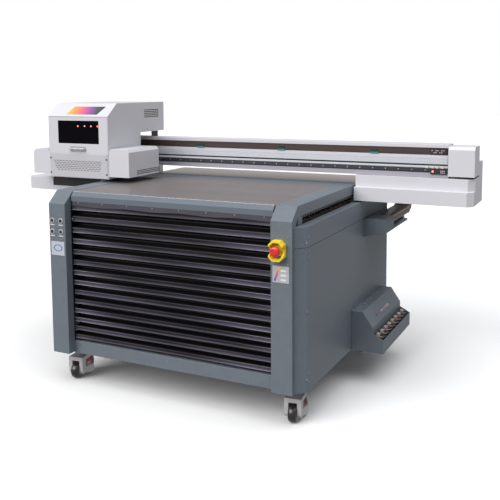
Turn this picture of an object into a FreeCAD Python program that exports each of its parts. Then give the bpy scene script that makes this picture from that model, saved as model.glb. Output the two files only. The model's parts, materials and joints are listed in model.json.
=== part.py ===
import FreeCAD, Part
import Sketcher
import os
import re
from FreeCAD import Placement, Rotation, Vector

# Flatbed ultraviolet printer.  Millimetres, +Z up, +X to the operator's right, +Y to the rear.
# In the sheet X = 0 is the middle of the base, Y = 0 the columns' front face and Z = 0 a level
# floor_drop above the floor; origin_y and floor_drop then move everything so that the origin lies
# on the floor, in the middle of the machine's outline.

doc = FreeCAD.newDocument("flatbed_uv_printer")
sheet = doc.addObject("Spreadsheet::Sheet", "dims")

# ------------------------------------------------------------------ driving dimensions
DRIVING = {
    # base cabinet
    "base_width": 1165, "base_depth": 1150, "base_top": 818, "cover_bottom": 90,
    "caster_height": 165, "floor_drop": 58, "wall": 2, "joint_gap": 0.3,
    "column_width": 88, "column_depth": 40, "nose_depth": 58, "nose_drop": 53,
    "slot_bottom": 742, "slot_height": 33, "slot_front": 103, "slot_rear": 815,
    "bulge": 40, "bulge_front": 18, "cover_seam": 659, "seam_gap": 1.5,
    "rear_rail_front": 685, "rear_rail_depth": 120, "deck_drop": 7,
    "kick_bottom": 86, "kick_top": 142, "setback": 38,
    # frame of square tube
    "tube": 40, "tray_thick": 3, "frame_front": 44, "frame_inset": 17.5,
    "side_beam_height": 38, "side_beam_width": 55, "side_beam_inset": 7.5,
    # bed and lift
    "bed_width": 985, "bed_front": 55, "bed_rear": 680, "bed_thick": 12, "bed_drop": 1,
    "bed_rail_width": 976, "bed_rail_face": 23, "bellows_depth": 35, "bellows_width": 978,
    "lift_travel": 250, "lift_x": 400, "lift_front_y": 150, "lift_rear_y": 600,
    "lift_rod_r": 25, "lift_tube_wall": 5,
    # linear guides and Y screw
    "guide_width": 20, "guide_height": 17.5, "guide_inset": 25.5, "block_length": 60,
    "screw_r": 6, "screw_inset": 77.5, "screw_z": 740, "run_fit": 0.05,
    # gantry
    "arm_front": 725, "arm_length": 70, "arm_thick": 8, "arm_rise": 14,
    "leg_offset": 27.5, "leg_width": 50, "leg_depth": 40,
    "end_offset": 537, "housing_offset": 7, "housing_bottom": 749, "ledge_z": 812,
    "housing_top": 866, "right_front": 705, "left_front": 450, "left_upper_front": 660,
    "housing_rear": 941, "ledge": 25, "corner": 27,
    "cap_front": 732, "cap_depth": 120, "cap_lift": 9,
    "cap_top": 1006, "cap_chamfer": 14, "step_top": 932,
    "beam_front": 750, "beam_depth": 90, "beam_bottom": 867, "beam_top": 1005,
    "recess_floor": 966, "lid_thick": 8, "lid_lip": 7,
    "x_guide": 15, "x_guide_z": 892.5, "bolt_pitch": 60, "bolt_r": 4,
    # X belt
    "pulley_r": 10, "belt_thick": 2, "belt_width": 15, "belt_z": 975, "belt_y": 771,
    "motor_side": 42, 
    # carriage
    "carriage_width": 360, "carriage_front": 355, "carriage_bottom": 832,
    "carriage_top": 1195, "slope_z": 1133, "slope_depth": 77, "back_y": 628, "overhang_y": 847,
    "overhang_z": 1044, "skin": 2.5, "door_bottom": 953, "door_thick": 3, "door_side": 3,
    "window_bottom": 1000, "window_top": 1112, "window_inset": 59, "lamp_depth": 258,
    "right_lamp_width": 116.5, "left_lamp_width": 105.5, "lamp_bevel": 14, "head_width": 60,
    "head_bottom": 828,
    # cable chains
    "x_chain_height": 20, "x_chain_outer": 45, "x_chain_bend": -700, "chain_arm_thick": 3,
    "y_chain_height": 34, "y_chain_outer": 81.5, "y_chain_bend": 1215, "y_chain_start": 892,
    "y_chain_width": 80, "chain_cradle": 22,
    # tray and ink station on the right side
    "shelf_reach": 106, "shelf_z": 600, "shelf_box_depth": 125, "shelf_front": 765,
    "shelf_rear": 1166, "shelf_thick": 6,
    "ink_front": 585, "ink_length": 465, "ink_hood_top": 270, "ink_hood_flat": 53,
    "ink_hood_reach": 99, "ink_reach": 148, "ink_lip": 152, "bottle_r": 17, "bottle_pitch": 56,
    # controls
    "estop_inset": 54.5, "estop_z": 655, "shroud_width": 62, "shroud_height": 80, "shroud_depth": 32,
    "mushroom_r": 20, "estop_reach": 46, "button_r": 8, "button_inset": 17, "button_pitch_x": 47,
    "button_z": 690, "button_pitch_z": 49,
    # levelling casters
    "caster_inset": 43.5, "caster_front": 160, "caster_end": 126, "caster_swing": 8,
    "foot_room": 26.5, "wheel_r": 37.5, "wheel_width": 33, "fork_inside": 18, "fork_outside": 35,
    "axle_r": 5, "wheel_gap": 9, "deck_thick": 17, "crown_r": 30, "stem_r": 8,
    "foot_r": 26, "foot_lift": 8, "dial_r": 28, "guard_r": 42, "guard_wall": 5,
    "caster_plate": 6, "caster_plate_half": 34, "king_pin_r": 6, "tube_wall": 3,
}

# Sizes that follow from the driving ones.
FOLLOWING = {
    "half_width": "base_width / 2",
    "column_inner": "half_width - column_width",
    "rail_depth_end": "rear_rail_front + rear_rail_depth",
    "slot_top": "slot_bottom + slot_height",
    "end_reach": "half_width + end_offset",
    "beam_left": "end_reach - 64.5",
    "cap_inner": "end_reach - 113",
    "drive_x": "end_reach - 59.5",
    "idler_x": "89.5 - end_reach",
    "carriage_left": "240 - end_reach",
    "head_pitch": "(carriage_width - 140 - head_width) / 2",
    "caster_x": "half_width - caster_inset",
    "caster_rear": "base_depth - caster_end",
    "caster_trail": "wheel_r + foot_room",
    "deck_low": "2 * wheel_r + wheel_gap",
    "deck_high": "deck_low + deck_thick",
    "crown_high": "deck_high + deck_thick",
    "dial_low": "wheel_r + 12.5",
    "frame_bottom": "caster_height - floor_drop",
    "frame_outer": "half_width - frame_inset",
    "tray_top": "frame_bottom + tube + tray_thick",
    "beam_side_top": "slot_bottom - 14",
    "bed_top": "base_top - bed_drop",
    "bed_under": "bed_top - bed_thick",
    "table_under": "bed_under - tube",
    "bed_rail_bottom": "bed_top - 43",
    "guide_x": "half_width - guide_inset",
    "screw_x": "half_width - screw_inset",
    "estop_x": "half_width - estop_inset",
    "button_x": "button_inset - half_width",
    "leg_inner": "half_width + leg_offset",
    "arm_z": "slot_bottom + arm_rise",
    "arm_rear": "arm_front + arm_length",
    "housing_inner": "half_width + housing_offset",
    "cover_outer": "half_width + bulge",
    "carriage_right": "carriage_left + carriage_width",
    "chain_bracket": "carriage_right - 40.5",
    "chain_rear": "y_chain_bend + y_chain_outer",
    "y_chain_floor": "shelf_z + chain_cradle",
    "y_chain_top": "y_chain_floor + 2 * y_chain_outer",
    "x_chain_front": "overhang_y + chain_arm_thick + joint_gap",
    "origin_y": "-(chain_rear - estop_reach) / 2",
    "lift_rod_bottom": "tray_top + 2 + lift_travel",
    "lift_tube_top": "table_under - lift_travel - 2",
}

for row, (name, amount) in enumerate(DRIVING.items(), start=1):
    sheet.set(f"A{row}", name)
    sheet.set(f"B{row}", str(amount))
    sheet.setAlias(f"B{row}", name)
for row, (name, formula) in enumerate(FOLLOWING.items(), start=len(DRIVING) + 2):
    sheet.set(f"A{row}", name)
    sheet.set(f"B{row}", "=" + formula)
    sheet.setAlias(f"B{row}", name)
doc.recompute()
ALIASES = set(DRIVING) | set(FOLLOWING)


def cells(formula):
    """The formula with the sheet's name before each of its aliases."""
    prefix = lambda word: "dims." + word.group() if word.group() in ALIASES else word.group()
    return re.sub(r"[a-z]\w*", prefix, str(formula))


def bind(item, name, formula):
    item.setExpression(name, cells(formula))


def locate(item, x, y, z):
    """Ties an object's place to the sheet."""
    bind(item, "Placement.Base.x", x)
    bind(item, "Placement.Base.y", f"({y}) + origin_y")
    bind(item, "Placement.Base.z", f"({z}) + floor_drop")


def box(label, x, y, z):
    """A box between two values along each axis."""
    item = doc.addObject("Part::Box", label)
    for name, (low, high) in zip(("Length", "Width", "Height"), (x, y, z)):
        bind(item, name, f"({high}) - ({low})")
    locate(item, x[0], y[0], z[0])
    return item


TURNS = {"x": Rotation(Vector(0, 1, 0), 90), "y": Rotation(Vector(1, 0, 0), -90), "z": Rotation()}


def rod(label, axis, radius, start, length):
    """A cylinder from start along an axis."""
    item = doc.addObject("Part::Cylinder", label)
    item.Placement = Placement(Vector(), TURNS[axis])
    bind(item, "Radius", radius)
    bind(item, "Height", length)
    locate(item, *start)
    return item


FRAMES = {
    "xy": Rotation(),
    "yz": Rotation(Vector(0, 1, 0), Vector(0, 0, 1), Vector(1, 0, 0), "ZXY"),
    "xz": Rotation(Vector(1, 0, 0), Vector(0, 0, 1), Vector(0, -1, 0), "ZXY"),
}


def draw(sketch, points):
    """A closed outline whose corners are held by bound distances from the sketch's origin."""
    corners = [Vector(number(u), number(v), 0) for u, v in points]
    count = len(corners)
    for index in range(count):
        sketch.addGeometry(Part.LineSegment(corners[index], corners[(index + 1) % count]), False)
    for index in range(count):
        sketch.addConstraint(Sketcher.Constraint("Coincident", index, 2, (index + 1) % count, 1))
    for index, (pair, corner) in enumerate(zip(points, corners)):
        for kind, formula, amount in zip(("DistanceX", "DistanceY"), pair, corner):
            held = sketch.addConstraint(Sketcher.Constraint(kind, index, 1, amount))
            bind(sketch, f"Constraints[{held}]", formula)


def number(formula):
    """The present value of a formula, read back through a scratch cell of the sheet."""
    sheet.set("D1", "=" + re.sub(r"dims\.", "", cells(formula)))
    sheet.recompute()
    return float(sheet.get("D1"))


def prism(label, plane, points, low, high):
    """An outline in one plane, carried from low to high along the plane's normal."""
    sketch = doc.addObject("Sketcher::SketchObject", label + "_outline")
    sketch.Placement = Placement(Vector(), FRAMES[plane])
    draw(sketch, points)
    start = {"xy": (0, 0, low), "yz": (low, 0, 0), "xz": (0, high, 0)}[plane]
    locate(sketch, *start)
    item = doc.addObject("Part::Extrusion", label)
    item.Base = sketch
    item.DirMode = "Normal"
    item.Solid = True
    bind(item, "LengthFwd", f"({high}) - ({low})")
    return item


def cut(label, base, *tools):
    item = doc.addObject("Part::Cut", label)
    item.Base = base
    item.Tool = tools[0] if len(tools) == 1 else group(label + "_tools", *tools)
    return item


def fuse(label, *pieces):
    item = doc.addObject("Part::MultiFuse", label)
    item.Shapes = list(pieces)
    return item


def group(label, *pieces):
    item = doc.addObject("Part::Compound", label)
    item.Links = list(pieces)
    return item


def mirrored(item):
    """The same piece on the other side of the machine."""
    other = doc.addObject("Part::Mirroring", item.Label + "_other_side")
    other.Source = item
    other.Normal = Vector(1, 0, 0)
    return other


def pair(label, item):
    return group(label, item, mirrored(item))


def body(label, x, y, z, turn=Rotation()):
    item = doc.addObject("PartDesign::Body", label)
    item.Placement = Placement(Vector(), turn)
    locate(item, x, y, z)
    return item


def body_sketch(item, role, points):
    """A sketch on one of the body's own origin planes."""
    sketch = item.newObject("Sketcher::SketchObject", item.Label + "_sketch")
    planes = [p for p in item.Origin.OriginFeatures if p.Role == role]
    sketch.AttachmentSupport = (planes[0], "")
    sketch.MapMode = "FlatFace"
    draw(sketch, points)
    return sketch


def turned(label, profile, x, y, z, turn=Rotation()):
    """A piece turned about its own Z axis from an outline of radius and height."""
    item = body(label, x, y, z, turn)
    sketch = body_sketch(item, "XZ_Plane", profile)
    spin = item.newObject("PartDesign::Revolution", item.Label + "_turning")
    spin.Profile = sketch
    spin.ReferenceAxis = (sketch, ["V_Axis"])
    spin.Angle = 360
    item.Tip = spin
    return item


def rect(u0, u1, v0, v1):
    return [(u0, v0), (u1, v0), (u1, v1), (u0, v1)]


def tube_box(label, axis, x, y, z):
    """Square tube: a box with its middle cut out along one axis."""
    spans = [x, y, z]
    hollow = [(f"{low} - 5", f"{high} + 5") if name == axis
              else (f"{low} + tube_wall", f"{high} - tube_wall")
              for name, (low, high) in zip("xyz", spans)]
    return cut(label, box(label + "_outside", *spans), box(label + "_inside", *hollow))


NODES = []


def node(item):
    """Marks a finished sub-part."""
    NODES.append(item)
    return item


# ------------------------------------------------------------------ base frame
# Welded square tube: two sills, cross tubes, four uprights and a beam under each Y guide.
sill = tube_box("sill", "y", ("frame_outer - tube", "frame_outer"), ("frame_front", "base_depth - 10"),
           ("frame_bottom", "frame_bottom + tube"))
uprights = [
    tube_box(f"upright_{end}", "z", ("frame_outer - tube", "frame_outer"), (start, f"{start} + tube"),
        ("frame_bottom + tube", "beam_side_top - side_beam_height"))
    for end, start in (("front", "frame_front"), ("rear", "base_depth - 10 - tube"))
]
side_beam = tube_box("side_beam", "y", ("half_width - side_beam_inset - side_beam_width",
                                        "half_width - side_beam_inset"),
                ("frame_front", "base_depth - 10"), ("beam_side_top - side_beam_height", "beam_side_top"))
crosses = [
    tube_box(f"cross_{place}", "x", ("-(frame_outer - tube)", "frame_outer - tube"),
             (start, f"{start} + tube"),
        ("frame_bottom", "frame_bottom + tube"))
    for place, start in (("front", "frame_front + tube"), ("lift_front", "lift_front_y + 30"),
                         ("lift_rear", "lift_rear_y - 20"), ("rear", "base_depth - 10 - tube"))
]
tray = box("tray", ("-(frame_outer - tube)", "frame_outer - tube"),
           ("frame_front + tube", "base_depth - 12"),
           ("tray_top - tray_thick", "tray_top"))
bearing = cut("screw_bearing",
              box("screw_bearing_blank", ("screw_x - 11",
                                          "half_width - side_beam_inset - side_beam_width"),
                  (88, 100), ("beam_side_top - 6", "screw_z + 14")),
              rod("screw_bearing_bore", "y", "screw_r + run_fit", ("screw_x", 80, "screw_z"), 30))
caster_plates = [
    cut(f"caster_plate_{k}",
        box(f"caster_plate_blank_{k}", ("caster_x - caster_plate_half", "caster_x + caster_plate_half"),
            (f"{y} - caster_plate_half", f"{y} + caster_plate_half"),
            ("frame_bottom - caster_plate", "frame_bottom")),
        rod(f"caster_plate_bore_{k}", "z", "king_pin_r + run_fit", ("caster_x", y, "frame_bottom - 10"),
            20))
    for k, y in enumerate(("caster_front", "caster_rear"))
]
side_pieces = [sill, side_beam] + uprights + caster_plates
node(group("base_frame", *side_pieces, *[mirrored(piece) for piece in side_pieces],
           *crosses, tray, bearing))

# ------------------------------------------------------------------ corner columns
# Folded sheet covers in front of the uprights, with a sloping nose up to the top rails.
column_out = prism("column_out", "yz", [
    (0, "cover_bottom"), (0, "base_top - nose_drop"), ("nose_depth", "base_top"),
    ("nose_depth", "slot_top"), ("column_depth", "slot_bottom"), ("column_depth", "cover_bottom")],
    "column_inner", "half_width")
column_in = prism("column_in", "yz", [
    ("wall", "cover_bottom - 1"), ("wall", "base_top - nose_drop - wall"),
    ("nose_depth - wall / 2", "base_top - 3 * wall / 2"), ("nose_depth + 1", "base_top - 3 * wall / 2"),
    ("nose_depth + 1", "cover_bottom - 1")],
    "column_inner + wall", "half_width - wall")
columns = pair("columns_blank", cut("column_shell", column_out, column_in))
button_spots = [(f"button_x + {i} * button_pitch_x", f"button_z - {j} * button_pitch_z")
                for j in (0, 1) for i in (0, 1)]
holes = [rod(f"button_hole_{k}", "y", "button_r + 1", (x, -5, z), 12)
         for k, (x, z) in enumerate(button_spots)]
holes.append(rod("estop_hole", "y", "button_r + 1", ("estop_x", -5, "estop_z"), 12))
node(cut("column_covers", columns, *holes))

# ------------------------------------------------------------------ top rails
# Channels over the Y guides; the long slot in the outer wall lets the gantry arms out.
rail_out = box("rail_out", ("column_inner", "half_width"), ("nose_depth + joint_gap", "rail_depth_end"),
               ("slot_bottom + joint_gap", "base_top"))
rail_in = box("rail_in", ("column_inner + wall", "half_width - wall"),
              ("nose_depth - 5", "rail_depth_end + 5"), ("slot_bottom - 5", "base_top - wall"))
rail_slot = box("rail_slot", ("half_width - 5", "half_width + 5"), ("slot_front", "rail_depth_end + 5"),
                ("slot_bottom - 5", "slot_top"))
rail_side = box("rail_side", ("column_inner - 5", "column_inner + 5"),
                ("nose_depth - 5", "rail_depth_end + 5"),
                ("slot_bottom - 5", "slot_top"))
node(pair("top_rails", cut("top_rail", rail_out, rail_in, rail_slot, rail_side)))

rear_out = box("rear_rail_out", ("-(column_inner - joint_gap)", "column_inner - joint_gap"),
               ("rear_rail_front", "rail_depth_end"), ("slot_top", "base_top"))
rear_in = box("rear_rail_in", ("-column_inner - 5", "column_inner + 5"),
              ("rear_rail_front + wall", "rail_depth_end - wall"), ("slot_top - 5", "base_top - wall"))
node(cut("rear_top_rail", rear_out, rear_in))

# ------------------------------------------------------------------ rear deck and panels
deck_out = box("deck_out", ("-half_width", "half_width"), ("rail_depth_end + joint_gap", "base_depth"),
               ("slot_bottom + joint_gap", "base_top - deck_drop"))
deck_in = box("deck_in", ("-half_width + wall", "half_width - wall"),
              ("rail_depth_end - 5", "base_depth - wall"),
              ("slot_bottom - 5", "base_top - deck_drop - wall"))
deck_slot = box("deck_slot", ("-half_width - 5", "half_width + 5"), ("rail_depth_end - 5", "slot_rear"),
                ("slot_bottom - 5", "slot_top"))
node(cut("rear_deck", deck_out, deck_in, deck_slot))
rear_panel = box("rear_panel", ("-half_width", "half_width"), ("base_depth - wall", "base_depth"),
                 ("cover_bottom", "slot_bottom"))
kick = "column_inner - joint_gap"
kick_panel = fuse("kick_panel",
                  box("kick_face", (f"-({kick})", kick), ("setback", "setback + wall"),
                      ("kick_bottom", "kick_top")),
                  box("kick_flange", (f"-({kick})", kick), ("setback + wall", "frame_front + tube"),
                      ("kick_top - wall", "kick_top")))


# ------------------------------------------------------------------ side covers
def side_cover(label, low, high, capped):
    """A folded cover that stands out from the base, bevelled at the front."""
    outer = prism(label + "_out", "xy", [
        ("half_width + joint_gap", "bulge_front"), ("cover_outer", "bulge_front + bulge"),
        ("cover_outer", "base_depth"), ("half_width + joint_gap", "base_depth")], low, high)
    top = f"{high} - wall" if capped else f"{high} + 5"
    hollow = prism(label + "_in", "xy", [
        ("half_width - 5", "bulge_front + 2 * wall - 5 - joint_gap"),
        ("cover_outer - wall", "bulge_front + bulge + wall"),
        ("cover_outer - wall", "base_depth - wall"), ("half_width - 5", "base_depth - wall")],
        f"{low} - 5", top)
    return cut(label, outer, hollow)


lower_cover = side_cover("lower_side_cover", "cover_bottom", "cover_seam", False)
upper_cover = side_cover("upper_side_cover", "cover_seam + seam_gap", "slot_bottom", True)
node(group("cabinet_covers", lower_cover, mirrored(lower_cover), upper_cover, mirrored(upper_cover),
           rear_panel, kick_panel))

# Countersunk cover screws along the bevels of the side covers and on the kick panel.
screw_heads = []
for k, z in enumerate((130, 165, 625, 645, 700)):
    screw_heads.append(rod(f"cover_screw_{k}", "x", 3.5, ("cover_outer", "bulge_front + bulge + 14", z),
                           1))
side_screws = [mirrored(head) for head in screw_heads]
kick_screws = [rod(f"kick_screw_{k}", "y", 3.5, (x, "setback - 1", "kick_top - 16"), 1)
               for k, x in enumerate(("-(column_inner - 30)", 0, "column_inner - 30"))]
node(group("cover_screws", *screw_heads, *side_screws, *kick_screws))

# ------------------------------------------------------------------ Y guides and screw drive
guide = body("y_guide", "guide_x", "frame_front + 40", "beam_side_top")
guide_sketch = body_sketch(guide, "XY_Plane", rect("-guide_width / 2", "guide_width / 2", 0,
                                                   "base_depth - 180"))
guide_pad = guide.newObject("PartDesign::Pad", "y_guide_bar")
guide_pad.Profile = guide_sketch
bind(guide_pad, "Length", "guide_height")
guide.Tip = guide_pad
bolt_sketch = body_sketch(guide, "XY_Plane", rect(-4, 4, 26, 34))
bolt_cut = guide.newObject("PartDesign::Pocket", "y_guide_bolt_hole")
bolt_cut.Profile = bolt_sketch
bolt_cut.Length = 8
bolt_cut.Reversed = True
guide.Tip = bolt_cut
bolt_row = guide.newObject("PartDesign::LinearPattern", "y_guide_bolt_holes")
bolt_row.Originals = [bolt_cut]
bolt_row.Direction = (guide_sketch, ["V_Axis"])
bolt_row.Mode = "Spacing"
bolt_row.Offset = 60
bolt_row.Occurrences = 15
guide.Tip = bolt_row
node(pair("y_linear_guides", guide))

node(turned("y_drive_screw", [(0, 0), ("screw_r - 1.5", 0), ("screw_r - 1.5", 6), ("screw_r", 6),
                              ("screw_r", "base_depth - 248"), (4, "base_depth - 248"),
                              (4, "base_depth - 232"), (0, "base_depth - 232")],
            "screw_x", 82, "screw_z", TURNS["y"]))
node(cut("y_motor",
         box("y_motor_case", ("screw_x - 17", "half_width - side_beam_inset - side_beam_width"),
             ("base_depth - 165.5", "base_depth - 75"), ("screw_z - 16", "screw_z + 16")),
         rod("y_motor_bore", "y", "4 + run_fit", ("screw_x", "base_depth - 170", "screw_z"), 22)))

# ------------------------------------------------------------------ cable chain tray
tray_box = cut("tray_box",
               prism("tray_box_out", "xz", [
                   ("cover_outer", "shelf_z - 28"), ("cover_outer + shelf_reach", "shelf_z - 3"),
                   ("cover_outer + shelf_reach", "shelf_z + 48"),
                   ("cover_outer + shelf_reach - 11", "shelf_z + 59"),
                   ("cover_outer", "shelf_z + 59")], "shelf_front", "shelf_front + shelf_box_depth"),
               prism("tray_box_in", "xz", [
                   ("cover_outer - 5", "shelf_z"), ("cover_outer + shelf_reach - wall", "shelf_z"),
                   ("cover_outer + shelf_reach - wall", "shelf_z + 47"),
                   ("cover_outer + shelf_reach - 12", "shelf_z + 57"),
                   ("cover_outer - 5", "shelf_z + 57")], "shelf_front + wall",
                   "shelf_front + shelf_box_depth + 5"))
shelf = prism("shelf", "xy", [
    ("cover_outer", "shelf_front + shelf_box_depth"),
    ("cover_outer + shelf_reach", "shelf_front + shelf_box_depth"),
    ("cover_outer + shelf_reach", "shelf_rear - 22"), ("cover_outer + shelf_reach - 22", "shelf_rear"),
    ("cover_outer", "shelf_rear")], "shelf_z - wall", "shelf_z + shelf_thick")
width_y = ("cover_outer + 13.5", "cover_outer + 13.5 + y_chain_width")
cradles = [box(f"chain_cradle_{k}", width_y, (y, y + 30), ("shelf_z + shelf_thick", "y_chain_floor"))
           for k, y in enumerate((900, 1100))]
node(fuse("chain_tray", tray_box, shelf, *cradles))

chain_mid = "y_chain_floor + y_chain_outer"
bend_ring = cut("y_chain_ring",
                rod("y_chain_ring_out", "x", "y_chain_outer", (width_y[0], "y_chain_bend", chain_mid),
                    "y_chain_width"),
                rod("y_chain_ring_in", "x", "y_chain_outer - y_chain_height",
                    (f"{width_y[0]} - 5", "y_chain_bend", chain_mid), "y_chain_width + 10"),
                box("y_chain_ring_half", (f"{width_y[0]} - 5", f"{width_y[1]} + 5"),
                    ("y_chain_bend - y_chain_outer - 5", "y_chain_bend"),
                    ("y_chain_floor - 5", "y_chain_top + 5")))
lower_run = box("y_chain_lower", width_y, ("y_chain_start", "y_chain_bend"),
                ("y_chain_floor", "y_chain_floor + y_chain_height"))
upper_run = box("y_chain_upper", width_y, ("housing_rear + joint_gap", "y_chain_bend"),
                ("y_chain_top - y_chain_height", "y_chain_top"))
node(fuse("y_drag_chain", bend_ring, lower_run, upper_run))

# ------------------------------------------------------------------ ink station
ink_out = prism("ink_out", "xz", [
    ("cover_outer", "cover_bottom"), ("cover_outer", "ink_hood_top"),
    ("cover_outer + ink_hood_flat", "ink_hood_top"), ("cover_outer + ink_hood_reach", "ink_lip + 51"),
    ("cover_outer + ink_hood_reach", "ink_lip + 26"), ("cover_outer + ink_reach", "ink_lip"),
    ("cover_outer + ink_reach", "cover_bottom")], "ink_front", "ink_front + ink_length")
ink_hollow = box("ink_hollow", ("cover_outer + wall", "cover_outer + ink_hood_reach - 2 * wall"),
                 ("ink_front + wall", "ink_front + ink_length - wall"),
                 ("cover_bottom + wall", "ink_lip + 40"))
ink_well = box("ink_well", ("cover_outer + ink_hood_reach", "cover_outer + ink_reach - wall"),
               ("ink_front + wall", "ink_front + ink_length - wall"),
               ("cover_bottom + wall", "ink_lip + 60"))
node(cut("ink_station", ink_out, ink_hollow, ink_well))
bottles = [
    turned(f"bottle_{k}", [(0, 0), ("bottle_r", 0), ("bottle_r", 52), (13, 58), (13, 60),
                           (15, 60), (15, 76), (0, 76)],
           "cover_outer + (ink_hood_reach + ink_reach - wall) / 2",
           f"ink_front + 36 + {k} * bottle_pitch",
           "cover_bottom + wall")
    for k in range(8)
]
node(group("ink_bottles", *bottles))

# ------------------------------------------------------------------ inside: electrics and lift
node(cut("control_box",
         box("control_box_out", (-200, 200), ("base_depth - 450", "base_depth - 100"),
             ("tray_top", "tray_top + 350")),
         box("control_box_in", ("-200 + wall", "200 - wall"),
             ("base_depth - 450 + wall", "base_depth - 100 - wall"),
             ("tray_top + wall", "tray_top + 350 - wall"))))
inlet_x, inlet_z = -395, 257
inlet_flange = box("inlet_flange", (inlet_x - 25, inlet_x + 25), ("base_depth", "base_depth + 3"),
                   (inlet_z - 15, inlet_z + 15))
inlet_well = box("inlet_well", (inlet_x - 13, inlet_x + 13), ("base_depth - 15", "base_depth + 5"),
                 (inlet_z - 9, inlet_z + 9))
node(cut("power_inlet", inlet_flange, inlet_well))
lift_spots = [(f"{side} * lift_x", y) for side in (-1, 1) for y in ("lift_front_y", "lift_rear_y")]
sleeves = [cut(f"sleeve_{k}",
               rod(f"sleeve_out_{k}", "z", "lift_rod_r + lift_tube_wall", (x, y, "tray_top"),
                   "lift_tube_top - tray_top"),
               rod(f"sleeve_in_{k}", "z", "lift_rod_r + run_fit", (x, y, "tray_top + 1"),
                   "lift_tube_top - tray_top"))
           for k, (x, y) in enumerate(lift_spots)]
node(group("lift_tubes", *sleeves))
node(group("lift_rods", *[rod(f"lift_rod_{k}", "z", "lift_rod_r", (x, y, "lift_rod_bottom"),
                              "table_under - lift_rod_bottom")
                          for k, (x, y) in enumerate(lift_spots)]))

# ------------------------------------------------------------------ bed that rises and falls
plate = body("bed_plate", 0, "bed_front", "bed_under")
plate_sketch = body_sketch(plate, "XY_Plane", rect("-bed_width / 2", "bed_width / 2", 0,
                                                   "bed_rear - bed_front"))
plate_pad = plate.newObject("PartDesign::Pad", "bed_slab")
plate_pad.Profile = plate_sketch
bind(plate_pad, "Length", "bed_thick")
plate.Tip = plate_pad
node(plate)
ring_half = "bed_rail_width / 2"
long_tubes = [box(f"table_tube_{k}", (f"-({ring_half})", ring_half), (y, f"{y} + tube"),
                  ("table_under", "bed_under"))
              for k, y in enumerate(("bed_front + 25", "lift_front_y + 5", "lift_rear_y - 45",
                                     "bed_rear - tube - 5"))]
short_tubes = [box(f"table_rib_{k}", (f"{x} - tube / 2", f"{x} + tube / 2"),
                   ("lift_front_y + 5 + tube", "lift_rear_y - 45"),
                   ("table_under", "bed_under")) for k, x in enumerate(("-lift_x", 0, "lift_x"))]
caps = [box(f"lift_pad_{k}", (f"{x} - 35", f"{x} + 35"), ("bed_front + 25 + tube", f"{y} + 5")
            if y == "lift_front_y" else
            (f"{y} - 5", f"{y} + 35"), ("table_under", "bed_under")) for k,
            (x, y) in enumerate(lift_spots)]
node(fuse("table_frame", *long_tubes, *short_tubes, *caps))
node(prism("table_front_rail", "yz", [
    ("setback", "bed_rail_bottom"), ("setback", "bed_rail_bottom + bed_rail_face"),
    ("bed_front - joint_gap", "bed_top - joint_gap"), ("bed_front - joint_gap", "bed_rail_bottom")],
    f"-({ring_half})", ring_half))
node(box("front_bellows", ("-bellows_width / 2", "bellows_width / 2"),
         ("setback + wall", "setback + wall + bellows_depth"),
         ("kick_top + joint_gap", "bed_rail_bottom - joint_gap")))

# ------------------------------------------------------------------ gantry arms
arm = box("arm_plate", ("screw_x - 8", "leg_inner + leg_width"), ("arm_front", "arm_rear"),
          ("arm_z", "arm_z + arm_thick"))
leg = box("leg", ("leg_inner", "leg_inner + leg_width"), ("beam_front + 5", "beam_front + 5 + leg_depth"),
          ("arm_z + arm_thick", "beam_bottom"))
slider = cut("slider",
             box("slider_blank", ("guide_x - 22", "guide_x + 22"),
                 ("arm_front + 5", "arm_front + 5 + block_length"),
                 ("beam_side_top + 3", "arm_z")),
             box("slider_channel", ("guide_x - guide_width / 2 - run_fit",
                                    "guide_x + guide_width / 2 + run_fit"),
                 ("arm_front - 5", "arm_rear + 5"),
                 ("beam_side_top", "beam_side_top + guide_height + run_fit")))
arm_side = fuse("arm_side", arm, leg, slider)
nut = cut("nut",
          box("nut_blank", ("screw_x - 8", "screw_x + 10"), ("arm_front + 10", "arm_rear - 10"),
              ("screw_z - 12", "arm_z")),
          rod("nut_bore", "y", "screw_r + run_fit", ("screw_x", "arm_front", "screw_z"), "arm_length"))
node(group("gantry_arms", fuse("right_arm", arm_side, nut), mirrored(arm_side)))

# ------------------------------------------------------------------ beam and X guide
front = "beam_front"
rear = "beam_front + beam_depth"
beam = prism("beam_profile", "yz", [
    (f"{front} - 5", "beam_bottom"), (f"{front} - 5", "x_guide_z - 4.5"),
    (f"{front} + 7", "x_guide_z - 4.5"),
    (f"{front} + 7", "x_guide_z + x_guide + 4.5"), (front, "x_guide_z + x_guide + 4.5"),
    (front, "recess_floor - 45"),
    (f"{front} + 3", "recess_floor - 45"), (f"{front} + 3", "recess_floor - 40"),
    (f"{front} - 2", "recess_floor - 40"),
    (f"{front} - 2", "recess_floor - 16"), (front, "recess_floor - 16"), (front, "recess_floor"),
    (f"{front} + 45", "recess_floor"), (f"{front} + 45", "beam_top"), (rear, "beam_top"),
    (rear, "beam_bottom + 13"),
    (f"{rear} + 60", "beam_bottom + 13"), (f"{rear} + 60", "beam_bottom + 10"),
    (rear, "beam_bottom + 10"),
    (rear, "beam_bottom")], "-beam_left", "cap_inner - joint_gap")
idler_pin = rod("idler_pin", "z", 2, ("idler_x", "belt_y", "recess_floor - 5"), "belt_width + 17")
cavities = [
    box("beam_cavity_front", ("-beam_left - 5", "cap_inner + 5"), ("beam_front + 12", "beam_front + 42"),
        ("beam_bottom + 8", "recess_floor - 8")),
    box("beam_cavity_rear", ("-beam_left - 5", "cap_inner + 5"),
        ("beam_front + 50", "beam_front + beam_depth - 5"),
        ("beam_bottom + 8", "beam_top - 6")),
]
node(fuse("beam_extrusion", cut("beam_hollow", beam, *cavities), idler_pin))
x_rail = body("x_linear_guide", "-beam_left + 10", "beam_front + 7", "x_guide_z")
rail_length = "cap_inner + beam_left - 20"
rail_sketch = body_sketch(x_rail, "XZ_Plane", rect(0, rail_length, 0, "x_guide"))
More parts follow.
